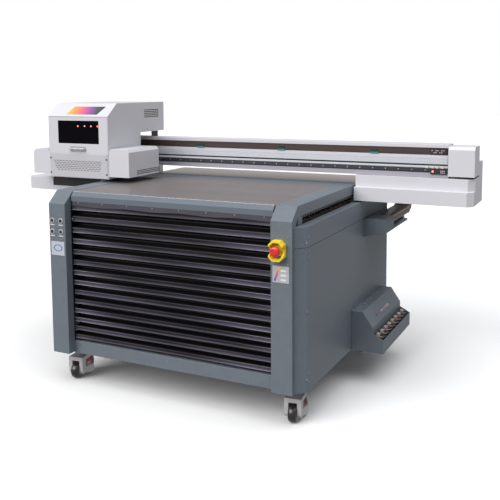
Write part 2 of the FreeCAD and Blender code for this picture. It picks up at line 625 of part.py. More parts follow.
rail_pad = x_rail.newObject("PartDesign::Pad", "x_guide_bar")
rail_pad.Profile = rail_sketch
bind(rail_pad, "Length", "x_guide")
x_rail.Tip = rail_pad
doc.recompute()
counter = x_rail.newObject("Sketcher::SketchObject", "x_guide_bolt")
counter.AttachmentSupport = ([p for p in x_rail.Origin.OriginFeatures if p.Role == "XZ_Plane"][0], "")
counter.MapMode = "FlatFace"
counter.AttachmentOffset = Placement(Vector(0, 0, number("x_guide")), Rotation())
counter.addGeometry(Part.Circle(Vector(30, 7.5, 0), Vector(0, 0, 1), number("bolt_r")), False)
bore = x_rail.newObject("PartDesign::Pocket", "x_guide_counterbore")
bore.Profile = counter
bore.Length = 5
x_rail.Tip = bore
bores = x_rail.newObject("PartDesign::LinearPattern", "x_guide_counterbores")
bores.Originals = [bore]
bores.Direction = (rail_sketch, ["H_Axis"])
bores.Mode = "Spacing"
bind(bores, "Offset", "bolt_pitch")
bores.Occurrences = int((number(rail_length) - 40) // number("bolt_pitch")) + 1
x_rail.Tip = bores
node(x_rail)
lid_front = "beam_front - 5"
lid_rear = "beam_front + beam_depth + 5"
lid_top = "beam_top + lid_thick"
node(prism("beam_top_cover", "yz", [
    (lid_front, "beam_top - lid_lip"), (lid_front, lid_top), (lid_rear, lid_top),
    (lid_rear, "beam_top - lid_lip"),
    (f"{lid_rear} - wall", "beam_top - lid_lip"), (f"{lid_rear} - wall", "beam_top"),
    (f"{lid_front} + wall", "beam_top"), (f"{lid_front} + wall", "beam_top - lid_lip")],
    "-beam_left", "cap_inner - joint_gap"))


# ------------------------------------------------------------------ housings at the beam's ends
def housing(label, front_y, upper_y):
    """A hollow sheet cover in two storeys, bevelled at its outer front corner."""
    def outline(inset, y):
        near, far = f"housing_inner + {inset}", f"end_reach - {inset}"
        back = f"housing_rear - {inset}"
        return [(near, f"{y} + {inset}"), (f"end_reach - corner - {inset} / 2", f"{y} + {inset}"),
                (far, f"{y} + corner + {inset}"), (far, back), (near, back)]
    solid = fuse(label + "_solid",
                 prism(label + "_lower", "xy", outline(0, front_y), "housing_bottom", "ledge_z"),
                 prism(label + "_upper", "xy", outline(0, upper_y), "ledge_z", "housing_top"))
    hollow = fuse(label + "_hollow",
                  prism(label + "_lower_in", "xy", outline("wall", front_y), "housing_bottom + wall",
                        "ledge_z - wall"),
                  prism(label + "_upper_in", "xy", outline("wall", upper_y), "ledge_z - wall - 1",
                        "housing_top - wall"))
    arm_door = box(label + "_arm_door", ("housing_inner - 5", "housing_inner + 5"),
                   ("arm_front - 1", "arm_rear + 1"),
                   ("arm_z - 1", "arm_z + arm_thick + 1"))
    leg_door = box(label + "_leg_door", ("leg_inner - joint_gap", "leg_inner + leg_width + joint_gap"),
                   ("beam_front + 5 - joint_gap", "beam_front + 5 + leg_depth + joint_gap"),
                   ("housing_top - 5", "housing_top + 5"))
    return cut(label + "_shell", solid, hollow, arm_door, leg_door)


step = cut("rear_step",
           box("rear_step_out", ("cap_inner", "end_reach"), ("cap_front + cap_depth + 2", "housing_rear"),
               ("housing_top", "step_top")),
           box("rear_step_in", ("cap_inner + wall", "end_reach - wall"),
               ("cap_front + cap_depth + 2 + wall", "housing_rear - wall"),
               ("housing_top - 5", "step_top - wall")))
node(fuse("right_housing", housing("right", "right_front", "right_front + ledge"), step))
recess = box("left_recess", ("-(end_reach - 175)", "-(end_reach - 478)"), ("left_front - 5", "back_y"),
             ("ledge_z - 39", "ledge_z + 5"))
node(cut("left_housing", mirrored(housing("left", "left_front", "left_upper_front")), recess))
cap_out = prism("cap_out", "yz", [
    ("cap_front", "housing_top + cap_lift"), ("cap_front", "cap_top - cap_chamfer"),
    ("cap_front + cap_chamfer", "cap_top"), ("cap_front + cap_depth", "cap_top"),
    ("cap_front + cap_depth", "housing_top + cap_lift")], "cap_inner", "end_reach")
cap_in = prism("cap_in", "yz", [
    ("cap_front + wall", "housing_top + cap_lift - 5"),
    ("cap_front + wall", "cap_top - cap_chamfer - wall / 2"),
    ("cap_front + cap_chamfer + wall / 2", "cap_top - wall"),
    ("cap_front + cap_depth - wall", "cap_top - wall"),
    ("cap_front + cap_depth - wall", "housing_top + cap_lift - 5")], "cap_inner - 5", "end_reach - wall")
node(cut("right_end_cap", cap_out, cap_in))
node(cut("capping_station",
         box("capping_tray", ("-(end_reach - 178)", "-(end_reach - 475)"),
             ("left_front + 3", "back_y - 3"),
             ("housing_bottom + wall + joint_gap", "ledge_z + 8")),
         *[box(f"cap_well_{k}", (f"carriage_left + 75 + {k} * head_pitch",
                                 f"carriage_left + 125 + {k} * head_pitch"),
               (480, 590), ("ledge_z - 8", "ledge_z + 20")) for k in range(3)]))

# ------------------------------------------------------------------ X belt drive
belt_low = "belt_y - pulley_r - belt_thick - run_fit"
belt_high = "belt_y + pulley_r + belt_thick + run_fit"


def racetrack(label, radius, grow):
    """A slot shape round both pulley centres."""
    low = f"belt_z - {grow}"
    tall = f"belt_width + 2 * {grow}"
    return fuse(label,
                rod(label + "_drive", "z", radius, ("drive_x", "belt_y", low), tall),
                rod(label + "_idler", "z", radius, ("idler_x", "belt_y", low), tall),
                box(label + "_span", ("idler_x", "drive_x"),
                    (f"belt_y - ({radius})", f"belt_y + {radius}"),
                    (low, f"{low} + {tall}")))


node(cut("x_belt", racetrack("belt_outer", "pulley_r + belt_thick + run_fit", 0),
         racetrack("belt_inner", "pulley_r + run_fit", 5)))
node(turned("x_drive_pulley", [(0, -31), (3, -31), (3, 0), ("pulley_r", 0), ("pulley_r", "belt_width"),
                               (0, "belt_width")],
            "drive_x", "belt_y", "belt_z"))
node(turned("x_idler_pulley", [("2 + run_fit", 0.5), ("pulley_r", 0.5), ("pulley_r", "belt_width"),
                               ("2 + run_fit", "belt_width")],
            "idler_x", "belt_y", "belt_z"))
motor_half = "motor_side / 2"
node(cut("x_motor",
                 box("motor_blank", (f"drive_x - {motor_half}", f"drive_x + {motor_half}"),
                     (f"belt_y - {motor_half}", f"belt_y + {motor_half}"),
                     ("housing_top + joint_gap", "belt_z - 20")),
                 rod("motor_bore", "z", "3 + run_fit", ("drive_x", "belt_y", "belt_z - 32"), 20)))

# ------------------------------------------------------------------ X cable chain
x_floor = "beam_bottom + 13"
x_top = "beam_bottom + 13 + 2 * x_chain_outer"
x_span = ("x_chain_front", "x_chain_front + 45")
x_ring = cut("x_chain_ring",
             rod("x_chain_ring_out", "y", "x_chain_outer",
                 ("x_chain_bend", x_span[0], f"{x_floor} + x_chain_outer"), 45),
             rod("x_chain_ring_in", "y", "x_chain_outer - x_chain_height",
                 ("x_chain_bend", f"{x_span[0]} - 5", f"{x_floor} + x_chain_outer"), 55),
             box("x_chain_ring_half", ("x_chain_bend", "x_chain_bend + x_chain_outer + 5"),
                 (f"{x_span[0]} - 5", f"{x_span[1]} + 5"), (f"{x_floor} - 5", f"{x_top} + 5")))
node(fuse("x_drag_chain", x_ring,
          box("x_chain_lower", ("x_chain_bend", 0), x_span, (x_floor, f"{x_floor} + x_chain_height")),
          box("x_chain_upper", ("x_chain_bend", "chain_bracket"), x_span,
              (f"{x_top} - x_chain_height", x_top))))

# ------------------------------------------------------------------ carriage
shell_out = prism("shell_out", "yz", [
    ("carriage_front", "carriage_bottom"), ("carriage_front", "slope_z"),
    ("carriage_front + slope_depth", "carriage_top"), ("overhang_y", "carriage_top"),
    ("overhang_y", "overhang_z"),
    ("back_y", "overhang_z"), ("back_y", "carriage_bottom")], "carriage_left", "carriage_right")
shell_in = prism("shell_in", "yz", [
    ("carriage_front + skin", "carriage_bottom + skin"), ("carriage_front + skin", "slope_z - skin / 2"),
    ("carriage_front + slope_depth + skin / 2", "carriage_top - skin"),
    ("overhang_y - skin", "carriage_top - skin"),
    ("overhang_y - skin", "overhang_z + skin"), ("back_y - skin", "overhang_z + skin"),
    ("back_y - skin", "carriage_bottom + skin")], "carriage_left + skin", "carriage_right - skin")
door_hole = box("door_hole", ("carriage_left + door_side", "carriage_right - door_side"),
                ("carriage_front - 5", "carriage_front + skin + 1"), ("door_bottom", "slope_z - 2"))
head_hole = box("head_hole", ("carriage_left + 40", "carriage_right - 40"), (460, 610),
                ("carriage_bottom - 5", "carriage_bottom + skin + 5"))
node(cut("carriage_shell", shell_out, shell_in, door_hole, head_hole))
door_x = ("carriage_left + door_side + 0.5", "carriage_right - door_side - 0.5")
window_x = ("carriage_left + window_inset", "carriage_right - window_inset + 5")
door_y = ("carriage_front", "carriage_front + door_thick")
node(cut("carriage_door",
         box("door_plate", door_x, door_y, ("door_bottom + 0.5", "slope_z - 3.5")),
         box("door_opening", window_x, ("carriage_front - 5", "carriage_front + 10"),
             ("window_bottom", "window_top"))))
node(box("door_window", window_x, ("carriage_front + 1", "carriage_front + door_thick"),
         ("window_bottom", "window_top")))


def lamp(label, near, far, low, high):
    """A lamp housing beside the carriage, open below and bevelled along its upper side edges."""
    front_y, back_y = "carriage_front + 2", "carriage_front + 2 + lamp_depth"
    outer = prism(label + "_out", "xz", [
        (near, low), (far, low), (far, f"{high} - lamp_bevel"), (f"{far} - lamp_bevel", high),
        (f"{near} + lamp_bevel", high), (near, f"{high} - lamp_bevel")], front_y, back_y)
    hollow = prism(label + "_in", "xz", [
        (f"{near} + wall", f"{low} - 5"), (f"{far} - wall", f"{low} - 5"),
        (f"{far} - wall", f"{high} - lamp_bevel - 1"),
        (f"{far} - lamp_bevel - 1", f"{high} - wall"), (f"{near} + lamp_bevel + 1", f"{high} - wall"),
        (f"{near} + wall", f"{high} - lamp_bevel - 1")], f"{front_y} + wall", f"{back_y} - wall")
    return cut(label, outer, hollow)


node(group("lamp_boxes",
           lamp("right_lamp", "carriage_right", "carriage_right + right_lamp_width", 844, 978),
           lamp("left_lamp", "carriage_left - left_lamp_width", "carriage_left", 846, 968)))
heads = body("head_body", "carriage_left + 70", 475, "head_bottom")
head_sketch = body_sketch(heads, "XY_Plane", rect(0, "head_width", 0, 120))
head_pad = heads.newObject("PartDesign::Pad", "head_block")
head_pad.Profile = head_sketch
head_pad.Length = 62
heads.Tip = head_pad
head_row = [heads]
for k in (1, 2):
    copy = box(f"head_{k}", (f"carriage_left + 70 + {k} * head_pitch",
                             f"carriage_left + 70 + {k} * head_pitch + head_width"),
               (475, 595), ("head_bottom", "head_bottom + 62"))
    head_row.append(copy)
head_plate = box("head_plate", ("carriage_left + 30", "carriage_right - 30"), (450, 620),
                 ("carriage_bottom + skin", "carriage_bottom + skin + 6"))
node(fuse("print_heads", *head_row, head_plate))
block_x = ("carriage_left + 130", "carriage_left + 330")
block = cut("x_block",
            box("x_block_blank", block_x, ("back_y", "beam_front + 6"),
                ("x_guide_z - 4", "x_guide_z + x_guide + 4")),
            box("x_block_channel", (f"{block_x[0]} - 5", f"{block_x[1]} + 5"),
                ("beam_front + 7 - x_guide - run_fit", "beam_front + 10"),
                ("x_guide_z - run_fit", "x_guide_z + x_guide + run_fit")))
riser = box("belt_riser", ("carriage_left + 220", "carriage_left + 250"),
            ("beam_front - 15", "beam_front - 6"),
            ("x_guide_z + x_guide + 4", "belt_z + belt_width + 3"))
clamp = box("belt_clamp", ("carriage_left + 220", "carriage_left + 250"),
            ("beam_front - 6", f"{belt_low} - joint_gap"), ("belt_z - 3", "belt_z + belt_width + 3"))
bracket = box("chain_arm", ("chain_bracket - 40", "chain_bracket"),
              ("overhang_y", "overhang_y + chain_arm_thick"),
              (f"{x_top} - x_chain_height", "overhang_z + 40"))
node(group("x_slider_block", fuse("x_slider", block, riser, clamp), bracket))

# ------------------------------------------------------------------ controls on the columns
shroud_x = ("estop_x - shroud_width / 2", "estop_x + shroud_width / 2")
node(cut("estop_shroud",
         box("shroud_blank", shroud_x, ("-shroud_depth", 0),
             ("estop_z - shroud_height / 2", "estop_z + shroud_height / 2")),
         rod("shroud_bore", "y", "mushroom_r + 4", ("estop_x", "-shroud_depth - 5", "estop_z"),
             "shroud_depth + 2"),
         rod("shroud_stem_bore", "y", "button_r + 0.5", ("estop_x", -10, "estop_z"), 20)))
node(turned("estop_button", [
    (0, 0), ("button_r", 0), ("button_r", "estop_reach - 8"), ("mushroom_r - 6", "estop_reach - 8"),
    ("mushroom_r", "estop_reach - 3"), ("mushroom_r", "estop_reach + 6"),
    ("mushroom_r - 3", "estop_reach + 12"),
    (0, "estop_reach + 12")], "estop_x", 12, "estop_z", Rotation(Vector(1, 0, 0), 90)))
for k, (x, z) in enumerate(button_spots, start=1):
    node(turned(f"push_button_{k}", [(0, 0), ("button_r", 0), ("button_r", 18), ("button_r - 1.5", 20),
                                     (0, 20)],
                x, 14, z, Rotation(Vector(1, 0, 0), 90)))
plates = [
    cut(f"button_ring_{k}",
        rod(f"button_ring_out_{k}", "y", "button_r + 3.5", (x, -3, z), 3),
        rod(f"button_ring_in_{k}", "y", "button_r + 0.3", (x, -10, z), 20))
    for k, (x, z) in enumerate(button_spots)
]
plates.append(box("left_plate", ("-half_width + 8", "-half_width + 80"), (-1.2, 0), (535, 597)))
plates.append(box("right_plate", ("half_width - 80", "half_width - 12"), (-1.2, 0), (529, 594)))
node(group("front_plates", *plates))


# ------------------------------------------------------------------ levelling casters
# Heights in this section are above the floor, which lies floor_drop under the sheet's zero.
FLOOR = "-floor_drop"


def swung(item, x, y):
    """Turns a finished shape about the upright line through x, y by the casters' rest swing."""
    item.Placement.Rotation = Rotation(Vector(0, 0, 1), number("caster_swing"))
    bind(item, "Placement.Base.x",
         f"({x}) * (1 - cos(caster_swing * 1 deg)) + (({y}) + origin_y) * sin(caster_swing * 1 deg)")
    bind(item, "Placement.Base.y",
         f"(({y}) + origin_y) * (1 - cos(caster_swing * 1 deg)) - ({x}) * sin(caster_swing * 1 deg)")
    return item


def caster(label, x, y):
    """A die-cast fork with its wheel in front of the swivel and a guarded levelling foot under it."""
    ahead = lambda distance: f"{y} - ({distance})"
    up = lambda height: f"{FLOOR} + {height}"
    deck = box(label + "_deck", (f"{x} - fork_outside", f"{x} + fork_outside"),
               (ahead("caster_trail + 16"), y), (up("deck_low"), up("deck_high")))
    deck_round = rod(label + "_deck_round", "z", "fork_outside", (x, y, up("deck_low")),
                     "deck_high - deck_low")
    bearing_ring = rod(label + "_bearing", "z", "crown_r", (x, y, up("deck_high")),
                       "crown_high - deck_high")
    head = rod(label + "_head", "z", 19, (x, y, up("crown_high")),
               "caster_height - caster_plate - joint_gap - crown_high")
    king_pin = rod(label + "_king_pin", "z", "king_pin_r", (x, y, up("crown_high")),
                   "caster_height - 1 - crown_high")
    cheek = [
        (ahead("caster_trail + 16"), up("deck_low")), (ahead("caster_trail + 16"), up(36)),
        (ahead("caster_trail + 9"), up(24)), (ahead("caster_trail - 8"), up(22)),
        (ahead("caster_trail - 15"), up(30)),
        (ahead("caster_trail - 17"), up("deck_low"))]
    web = [
        (ahead("caster_trail - 12"), up(24)), (ahead("caster_trail - 12"), up(50)), (ahead(-6), up(48)),
        (ahead(-14), up(18)), (ahead(10), up(16))]
    sides = []
    for name, sign in (("left", "-"), ("right", "")):
        inner, outer = f"{x} + {sign}1 * fork_inside", f"{x} + {sign}1 * fork_outside"
        web_in = f"{x} + {sign}1 * (fork_outside - 4)"
        span = (outer, inner) if sign else (inner, outer)
        web_span = (outer, web_in) if sign else (web_in, outer)
        sides.append(prism(f"{label}_cheek_{name}", "yz", cheek, *span))
        sides.append(prism(f"{label}_web_{name}", "yz", web, *web_span))
    guard = cut(label + "_guard",
                rod(label + "_guard_out", "z", "guard_r", (x, y, up(14)), 58),
                rod(label + "_guard_in", "z", "guard_r - guard_wall", (x, y, up(10)), 70),
                box(label + "_guard_mouth", (f"{x} - fork_inside - 8", f"{x} + fork_inside + 8"),
                    (ahead("guard_r + 5"), ahead(14)), (up(10), up(80))),
                prism(label + "_guard_slope", "yz", [
                    (ahead(60), up(46)), (ahead(-8), up(50)), (ahead(-34), up(72)), (ahead(-60), up(72)),
                    (ahead(-60), up(90)), (ahead(60), up(90))],
                    f"{x} - guard_r - 5", f"{x} + guard_r + 5"))
    wheel_room = rod(label + "_wheel_room", "x", "wheel_r + 4",
                     (f"{x} - fork_inside", ahead("caster_trail"), up("wheel_r")), "2 * fork_inside")
    stem_bore = rod(label + "_stem_bore", "z", "stem_r + 0.3", (x, y, up("deck_low - 5")), 42)
    frame = cut(label + "_frame", fuse(label + "_frame_solid", deck, deck_round, bearing_ring, head,
                                       king_pin,
                                       *sides, guard), wheel_room, stem_bore)
    axle = rod(label + "_axle", "x", "axle_r", (f"{x} - fork_outside - 1", ahead("caster_trail"),
                                                up("wheel_r")),
               "2 * fork_outside + 2")
    node(swung(fuse(f"{label}_fork", frame, axle), x, y))
    half = "wheel_width / 2"
    node(turned(f"{label}_wheel", [
        ("axle_r + run_fit", f"-{half}"), ("wheel_r - 5", f"-{half}"), ("wheel_r", f"-{half} + 7"),
        ("wheel_r", f"{half} - 7"), ("wheel_r - 5", half), ("axle_r + run_fit", half)],
        f"{x} + caster_trail * sin(caster_swing * 1 deg)",
        f"{y} - caster_trail * cos(caster_swing * 1 deg)",
        up("wheel_r"), Rotation(Vector(0, 0, 1), number("caster_swing")).multiply(TURNS["x"])))
    node(turned(f"{label}_foot", [
        (0, 0), ("foot_r", 0), ("foot_r", 7), ("stem_r + 4", 13), ("stem_r", 13), ("stem_r", "dial_low"),
        ("dial_r", "dial_low"), ("dial_r", "dial_low + 18"), ("stem_r", "dial_low + 18"),
        ("stem_r", "deck_low + 12"), (0, "deck_low + 12")],
        x, y, up("foot_lift")))


for end, y in (("front", "caster_front"), ("rear", "caster_rear")):
    for side, x in (("left", "-caster_x"), ("right", "caster_x")):
        caster(f"caster_{end}_{side}", x, y)

# ------------------------------------------------------------------ checks and export
doc.recompute()
for item in doc.Objects:
    if "Invalid" in item.State or "Error" in item.State:
        raise SystemExit(f"{item.Label} failed: {item.State}")
os.makedirs("parts", exist_ok=True)
for item in NODES:
    shape = item.Shape
    if shape.isNull() or not shape.isValid() or not shape.Solids:
        raise SystemExit(f"{item.Label} has no valid shape")
    shape.exportStep(f"parts/{item.Label}.step")
print(len(NODES), "nodes")
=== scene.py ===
# Flatbed UV printer on casters: steel cabinet with a lifting bed, and a gantry with its print carriage.
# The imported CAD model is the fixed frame, and everything here is built round it in metres.
import json
import math

import bmesh
import bpy
import numpy as np
from mathutils import Matrix, Vector


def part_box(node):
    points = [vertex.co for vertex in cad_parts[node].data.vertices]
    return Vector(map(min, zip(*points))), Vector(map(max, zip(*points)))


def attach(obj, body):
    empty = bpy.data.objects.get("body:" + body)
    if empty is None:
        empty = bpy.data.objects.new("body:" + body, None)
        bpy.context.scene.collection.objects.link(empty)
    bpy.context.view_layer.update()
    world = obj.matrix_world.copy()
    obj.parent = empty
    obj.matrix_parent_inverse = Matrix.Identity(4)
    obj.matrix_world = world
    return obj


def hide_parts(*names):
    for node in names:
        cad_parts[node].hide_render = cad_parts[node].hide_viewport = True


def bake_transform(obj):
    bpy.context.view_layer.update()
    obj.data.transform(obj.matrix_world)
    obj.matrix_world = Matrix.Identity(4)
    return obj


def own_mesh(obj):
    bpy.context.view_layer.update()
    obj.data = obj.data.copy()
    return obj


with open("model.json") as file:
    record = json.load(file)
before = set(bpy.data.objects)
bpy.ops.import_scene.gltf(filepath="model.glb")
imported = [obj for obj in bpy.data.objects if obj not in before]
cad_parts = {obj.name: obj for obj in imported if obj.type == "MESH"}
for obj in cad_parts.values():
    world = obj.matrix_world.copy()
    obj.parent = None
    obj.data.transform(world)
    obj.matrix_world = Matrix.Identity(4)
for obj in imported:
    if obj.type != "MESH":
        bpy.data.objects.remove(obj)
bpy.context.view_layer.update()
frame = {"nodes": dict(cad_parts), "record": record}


# ---------------------------------------------------------------- studio
# A white floor that throws no light back, one large soft light from the front
# left, one from above and a dim surround, so the right sides stay in half shade.
EYE = Vector((1.6558, -3.1545, 1.3242))
YAW, TILT, ROLL = (math.radians(angle) for angle in (26.222, 5.930, -0.416))
SENSOR = 36.0
FOCAL_LENGTH = 1.4904 * SENSOR
VIEW_DROP = -0.17
SURROUND_LIGHT, SURROUND_SEEN = 0.36, 1.0
FLOOR_REACH = 30.0


def camera_turn(yaw, tilt, roll):
    """Rotation whose columns are the view's right, up and backward directions."""
    ahead = Vector((-math.sin(yaw) * math.cos(tilt), math.cos(yaw) * math.cos(tilt), -math.sin(tilt)))
    level = Vector((math.cos(yaw), math.sin(yaw), 0))
    raised = level.cross(ahead)
    right = math.cos(roll) * level + math.sin(roll) * raised
    up = -math.sin(roll) * level + math.cos(roll) * raised
    return Matrix((right, up, -ahead)).transposed()


view = bpy.data.objects.new("camera", bpy.data.cameras.new("camera"))
bpy.context.collection.objects.link(view)
view.matrix_world = Matrix.Translation(EYE) @ camera_turn(YAW, TILT, ROLL).to_4x4()
view.data.sensor_width = SENSOR
view.data.lens = FOCAL_LENGTH
view.data.shift_y = VIEW_DROP
bpy.context.scene.camera = view
bpy.context.scene.view_settings.view_transform = "Standard"


def soft_light(name, toward, strength, spread, tint):
    """A wide soft light that comes from the direction toward, the same over the whole floor."""
    lamp = bpy.data.lights.new(name, "SUN")
    lamp.energy, lamp.angle, lamp.color = strength, math.radians(spread), tint
    made = bpy.data.objects.new(name, lamp)
    made.rotation_euler = Vector(toward).to_track_quat("Z", "Y").to_euler()
    bpy.context.collection.objects.link(made)


soft_light("key", (-0.42, -0.80, 0.60), 2.35, 45, (1.0, 0.99, 0.98))
soft_light("top", (0.27, -0.15, 1.0), 1.9, 60, (0.97, 0.985, 1.0))

surround = bpy.data.worlds.new("surround")
surround.use_nodes = True
sky = surround.node_tree.nodes["Background"]
sky.inputs["Color"].default_value = (1.0, 1.0, 1.0, 1)
rays = surround.node_tree.nodes.new("ShaderNodeLightPath")
seen = surround.node_tree.nodes.new("ShaderNodeMapRange")
seen.inputs["To Min"].default_value = SURROUND_LIGHT
seen.inputs["To Max"].default_value = SURROUND_SEEN
surround.node_tree.links.new(rays.outputs["Is Camera Ray"], seen.inputs["Value"])
surround.node_tree.links.new(seen.outputs["Result"], sky.inputs["Strength"])
bpy.context.scene.world = surround


class Wire:
    """A socket in a material's node tree. Arithmetic on values adds Math nodes to the tree."""

    def __init__(self, tree, socket=None):
        self.tree = tree
        self.socket = socket

    def node(self, kind, settings=None, out=0, **sockets):
        """Adds a node of a type: its settings first, then its sockets' values or links (_0 is the first)."""
        made = self.tree.nodes.new("ShaderNode" + kind)
        for name, value in (settings or {}).items():
            if name == "stops":
                for at, tint in value[2:]:
                    made.color_ramp.elements.new(at)
                for element, (at, tint) in zip(made.color_ramp.elements, sorted(value)):
                    element.position, element.color = at, (*tint, 1)
            else:
                setattr(made, name, value)
        for name, value in sockets.items():
            socket = made.inputs[int(name[1:]) if name[0] == "_" else name.replace("_", " ")]
            if isinstance(value, Wire):
                self.tree.links.new(value.socket, socket)
            elif socket.type == "RGBA":
                socket.default_value = (*value, 1)
            else:
                socket.default_value = value
        return Wire(self.tree, made.outputs[out])

    def math(self, operation, a, b=0.0):
        """A Math node on one or two values."""
        return self.node("Math", {"operation": operation}, _0=a, _1=b)

    def __add__(self, other):
        return self.math("ADD", self, other)

    def __sub__(self, other):
        return self.math("SUBTRACT", self, other)

    def __rsub__(self, other):
        return self.math("SUBTRACT", other, self)

    def __mul__(self, other):
        return self.math("MULTIPLY", self, other)

    def __truediv__(self, other):
        return self.math("DIVIDE", self, other)

    def __pow__(self, other):
        return self.math("POWER", self, other)

    def __gt__(self, other):
        return self.math("GREATER_THAN", self, other)

    def __lt__(self, other):
        return self.math("LESS_THAN", self, other)

    __radd__, __rmul__ = __add__, __mul__

    def mix(self, a, b):
        """The colour a where this value is 0 and b where it is 1."""
        return self.node("Mix", {"data_type": "RGBA"}, 2, _0=self, _6=a, _7=b)


class Finish:
    """A material under way: its place on the piece, its noises, and the shader that closes it."""

    def __init__(self, name):
        self.material = bpy.data.materials.new(name)
        self.material.use_nodes = True
        self.tree = self.material.node_tree
        self.shader = self.tree.nodes["Principled BSDF"]
        self.place = Wire(self.tree).node("TexCoord", out=3)

    def stretched(self, scale):
        """Object coordinates times a scale along each axis."""
        return self.place.node("Mapping", Vector=self.place, Scale=scale)

    def noise(self, per_metre, detail=2.0, rough=0.5, where=None):
        """Noise from 0 to 1, with so many lumps a metre."""
        return self.place.node(
            "TexNoise", Vector=where or self.place, Scale=float(per_metre), Detail=detail, Roughness=rough
        )

    def axis(self, letter):
        """One coordinate of the place, in metres."""
        return self.place.node("SeparateXYZ", out="XYZ".index(letter), Vector=self.place)

    def close(self, bump=None, depth=0.0001, **sockets):
        """Sets the shader's sockets to values or links, and a height to a bump of so many metres."""
        for name, value in sockets.items():
            socket = self.shader.inputs[name.replace("_", " ")]
            if isinstance(value, Wire):
                self.tree.links.new(value.socket, socket)
            elif socket.type == "RGBA":
                socket.default_value = (*value, 1)
            else:
                socket.default_value = value
        if bump is not None:
            relief = bump.node("Bump", Height=bump, Distance=depth, Strength=1.0)
            self.tree.links.new(relief.socket, self.shader.inputs["Normal"])
        return self.material


def paper_floor():
    """Matt pale floor: a faint slow mottling on near-white paint."""
    made = Finish("pale_floor")
    cloudy = made.noise(0.7)
    return made.close(Base_Color=cloudy.mix((0.90, 0.90, 0.905), (0.92, 0.92, 0.92)), Roughness=0.85)


floor_mesh = bpy.data.meshes.new("floor")
side = np.array([-FLOOR_REACH, FLOOR_REACH])
across, along = np.meshgrid(side, side)
floor_mesh.from_pydata(np.stack([across, along, 0 * across], -1).reshape(-1, 3).tolist(), [], [(0, 1, 3, 2)])
floor_mesh.materials.append(paper_floor())
floor = bpy.data.objects.new("floor", floor_mesh)
bpy.context.collection.objects.link(floor)
floor.visible_diffuse = False
floor.visible_glossy = False


# ---------------------------------------------------------------- painted steel
# Folded sheet steel with powder coat: slate blue-grey on the cabinet and a
# cool white on the gantry. Folds are rounded by a small bevel.
FOLD = 0.0022
ORANGE_PEEL = 520
SLATE = (0.122, 0.148, 0.180)


def powder_coat(name, tint, shade, gloss):
    """Powder coat: slow colour drift, fine orange peel, and a little dust that dulls the gloss."""
    made = Finish(name)
    drift = made.noise(3.5)
    grain = made.noise(ORANGE_PEEL, 3.0)
    dust = made.noise(28, 4.0, 0.65)
    colour = drift.mix(shade, tint)
    return made.close(
        bump=grain, depth=0.00012,
        Base_Color=(dust * 0.10).mix(colour, (0.55, 0.56, 0.58)),
        Roughness=gloss + 0.10 * dust + 0.04 * grain,
        Coat_Weight=0.12, Coat_Roughness=0.35,
    )


slate = powder_coat("slate_powder_coat", SLATE, (0.112, 0.136, 0.166), 0.36)
white = powder_coat("white_powder_coat", (0.66, 0.655, 0.70), (0.63, 0.625, 0.67), 0.36)


def folded(node, name, material, bevel=FOLD, segments=3):
    """A CAD node's own shape with its flat faces joined and its corners rounded, in place of the node."""
    source = frame["nodes"][node]
    mesh = bpy.data.meshes.new(name)
    work = bmesh.new()
    work.from_mesh(source.data)
    bmesh.ops.remove_doubles(work, verts=work.verts, dist=1e-5)
    bmesh.ops.dissolve_limit(
        work, angle_limit=math.radians(1.0), verts=work.verts, edges=work.edges, delimit={"NORMAL"}
    )
    work.to_mesh(mesh)
    work.free()
    mesh.materials.append(material)
    made = bpy.data.objects.new(name, mesh)
    bpy.context.collection.objects.link(made)
    edge = made.modifiers.new("folds", "BEVEL")
    edge.width, edge.segments, edge.limit_method = bevel, segments, "ANGLE"
    edge.angle_limit = math.radians(25)
    edge.harden_normals = True
    flat = made.modifiers.new("flat_faces", "WEIGHTED_NORMAL")
    flat.keep_sharp, flat.weight = True, 100
    mesh.shade_smooth()
    return made


def body_of(node):
    """The CAD body that carries a node."""
    bodies = frame["record"]["behaviour"]["bodies"]
    return next(name for name, nodes in bodies.items() if node in nodes)


def cover(node, name, material, *fold):
    """The folded sheet that stands for a CAD node and rides on its body."""
    made = folded(node, name, material, *fold)
    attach(made, body_of(node))
    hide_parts(node)


for node, name, material in (
    ("column_covers", "corner_columns", slate),
    ("top_rails", "side_rails", slate),
    ("rear_top_rail", "rear_rail", slate),
    ("cabinet_covers", "side_panels", slate),
    ("chain_tray", "chain_shelf", slate),
    ("ink_station", "ink_cabinet", slate),
    ("right_housing", "right_cover", white),
    ("left_housing", "left_cover", white),
    ("right_end_cap", "beam_end_cap", white),
    ("beam_top_cover", "beam_lid", white),
    ("carriage_shell", "carriage_cover", white),
    ("lamp_boxes", "lamp_covers", white),
):
    cover(node, name, material)
cover("carriage_door", "carriage_flap", white, 0.0007, 2)


# ---------------------------------------------------------------- fastenings
# Countersunk socket screws on the covers, cap screws along the guides, and
# the small pan heads of the panels.
def skin(rings, capped=True):
    """Vertices and faces of the surface P(i, j) through closed rings, with quads from ring to ring.

    A capped surface also has one face over its first ring and one over its last.
    """
    rings = np.asarray(rings, float)
    count, around = rings.shape[:2]
    at = np.arange(count * around).reshape(count, around)
    after = np.roll(at, -1, axis=1)
    faces = np.stack([at[:-1], after[:-1], after[1:], at[1:]], -1).reshape(-1, 4).tolist()
    if capped:
        faces += [at[0][::-1].tolist(), at[-1].tolist()]
    return rings.reshape(-1, 3), faces


def spun(profile, steps=24, lobes=0, depth=0.0):
    """A profile of (radius, height) pairs turned about Z: P = (r cos a, r sin a, h).

    With lobes, each radius is cut by depth * (1 - cos(lobes * a)) / 2, which knurls the rim.
    """
    angle = np.linspace(0, 2 * np.pi, steps, endpoint=False)
    cut = 1 - depth * (1 - np.cos(lobes * angle)) / 2
    rings = [
        np.stack([r * cut * np.cos(angle), r * cut * np.sin(angle), 0 * angle + h], -1) for r, h in profile
    ]
    return skin(rings)


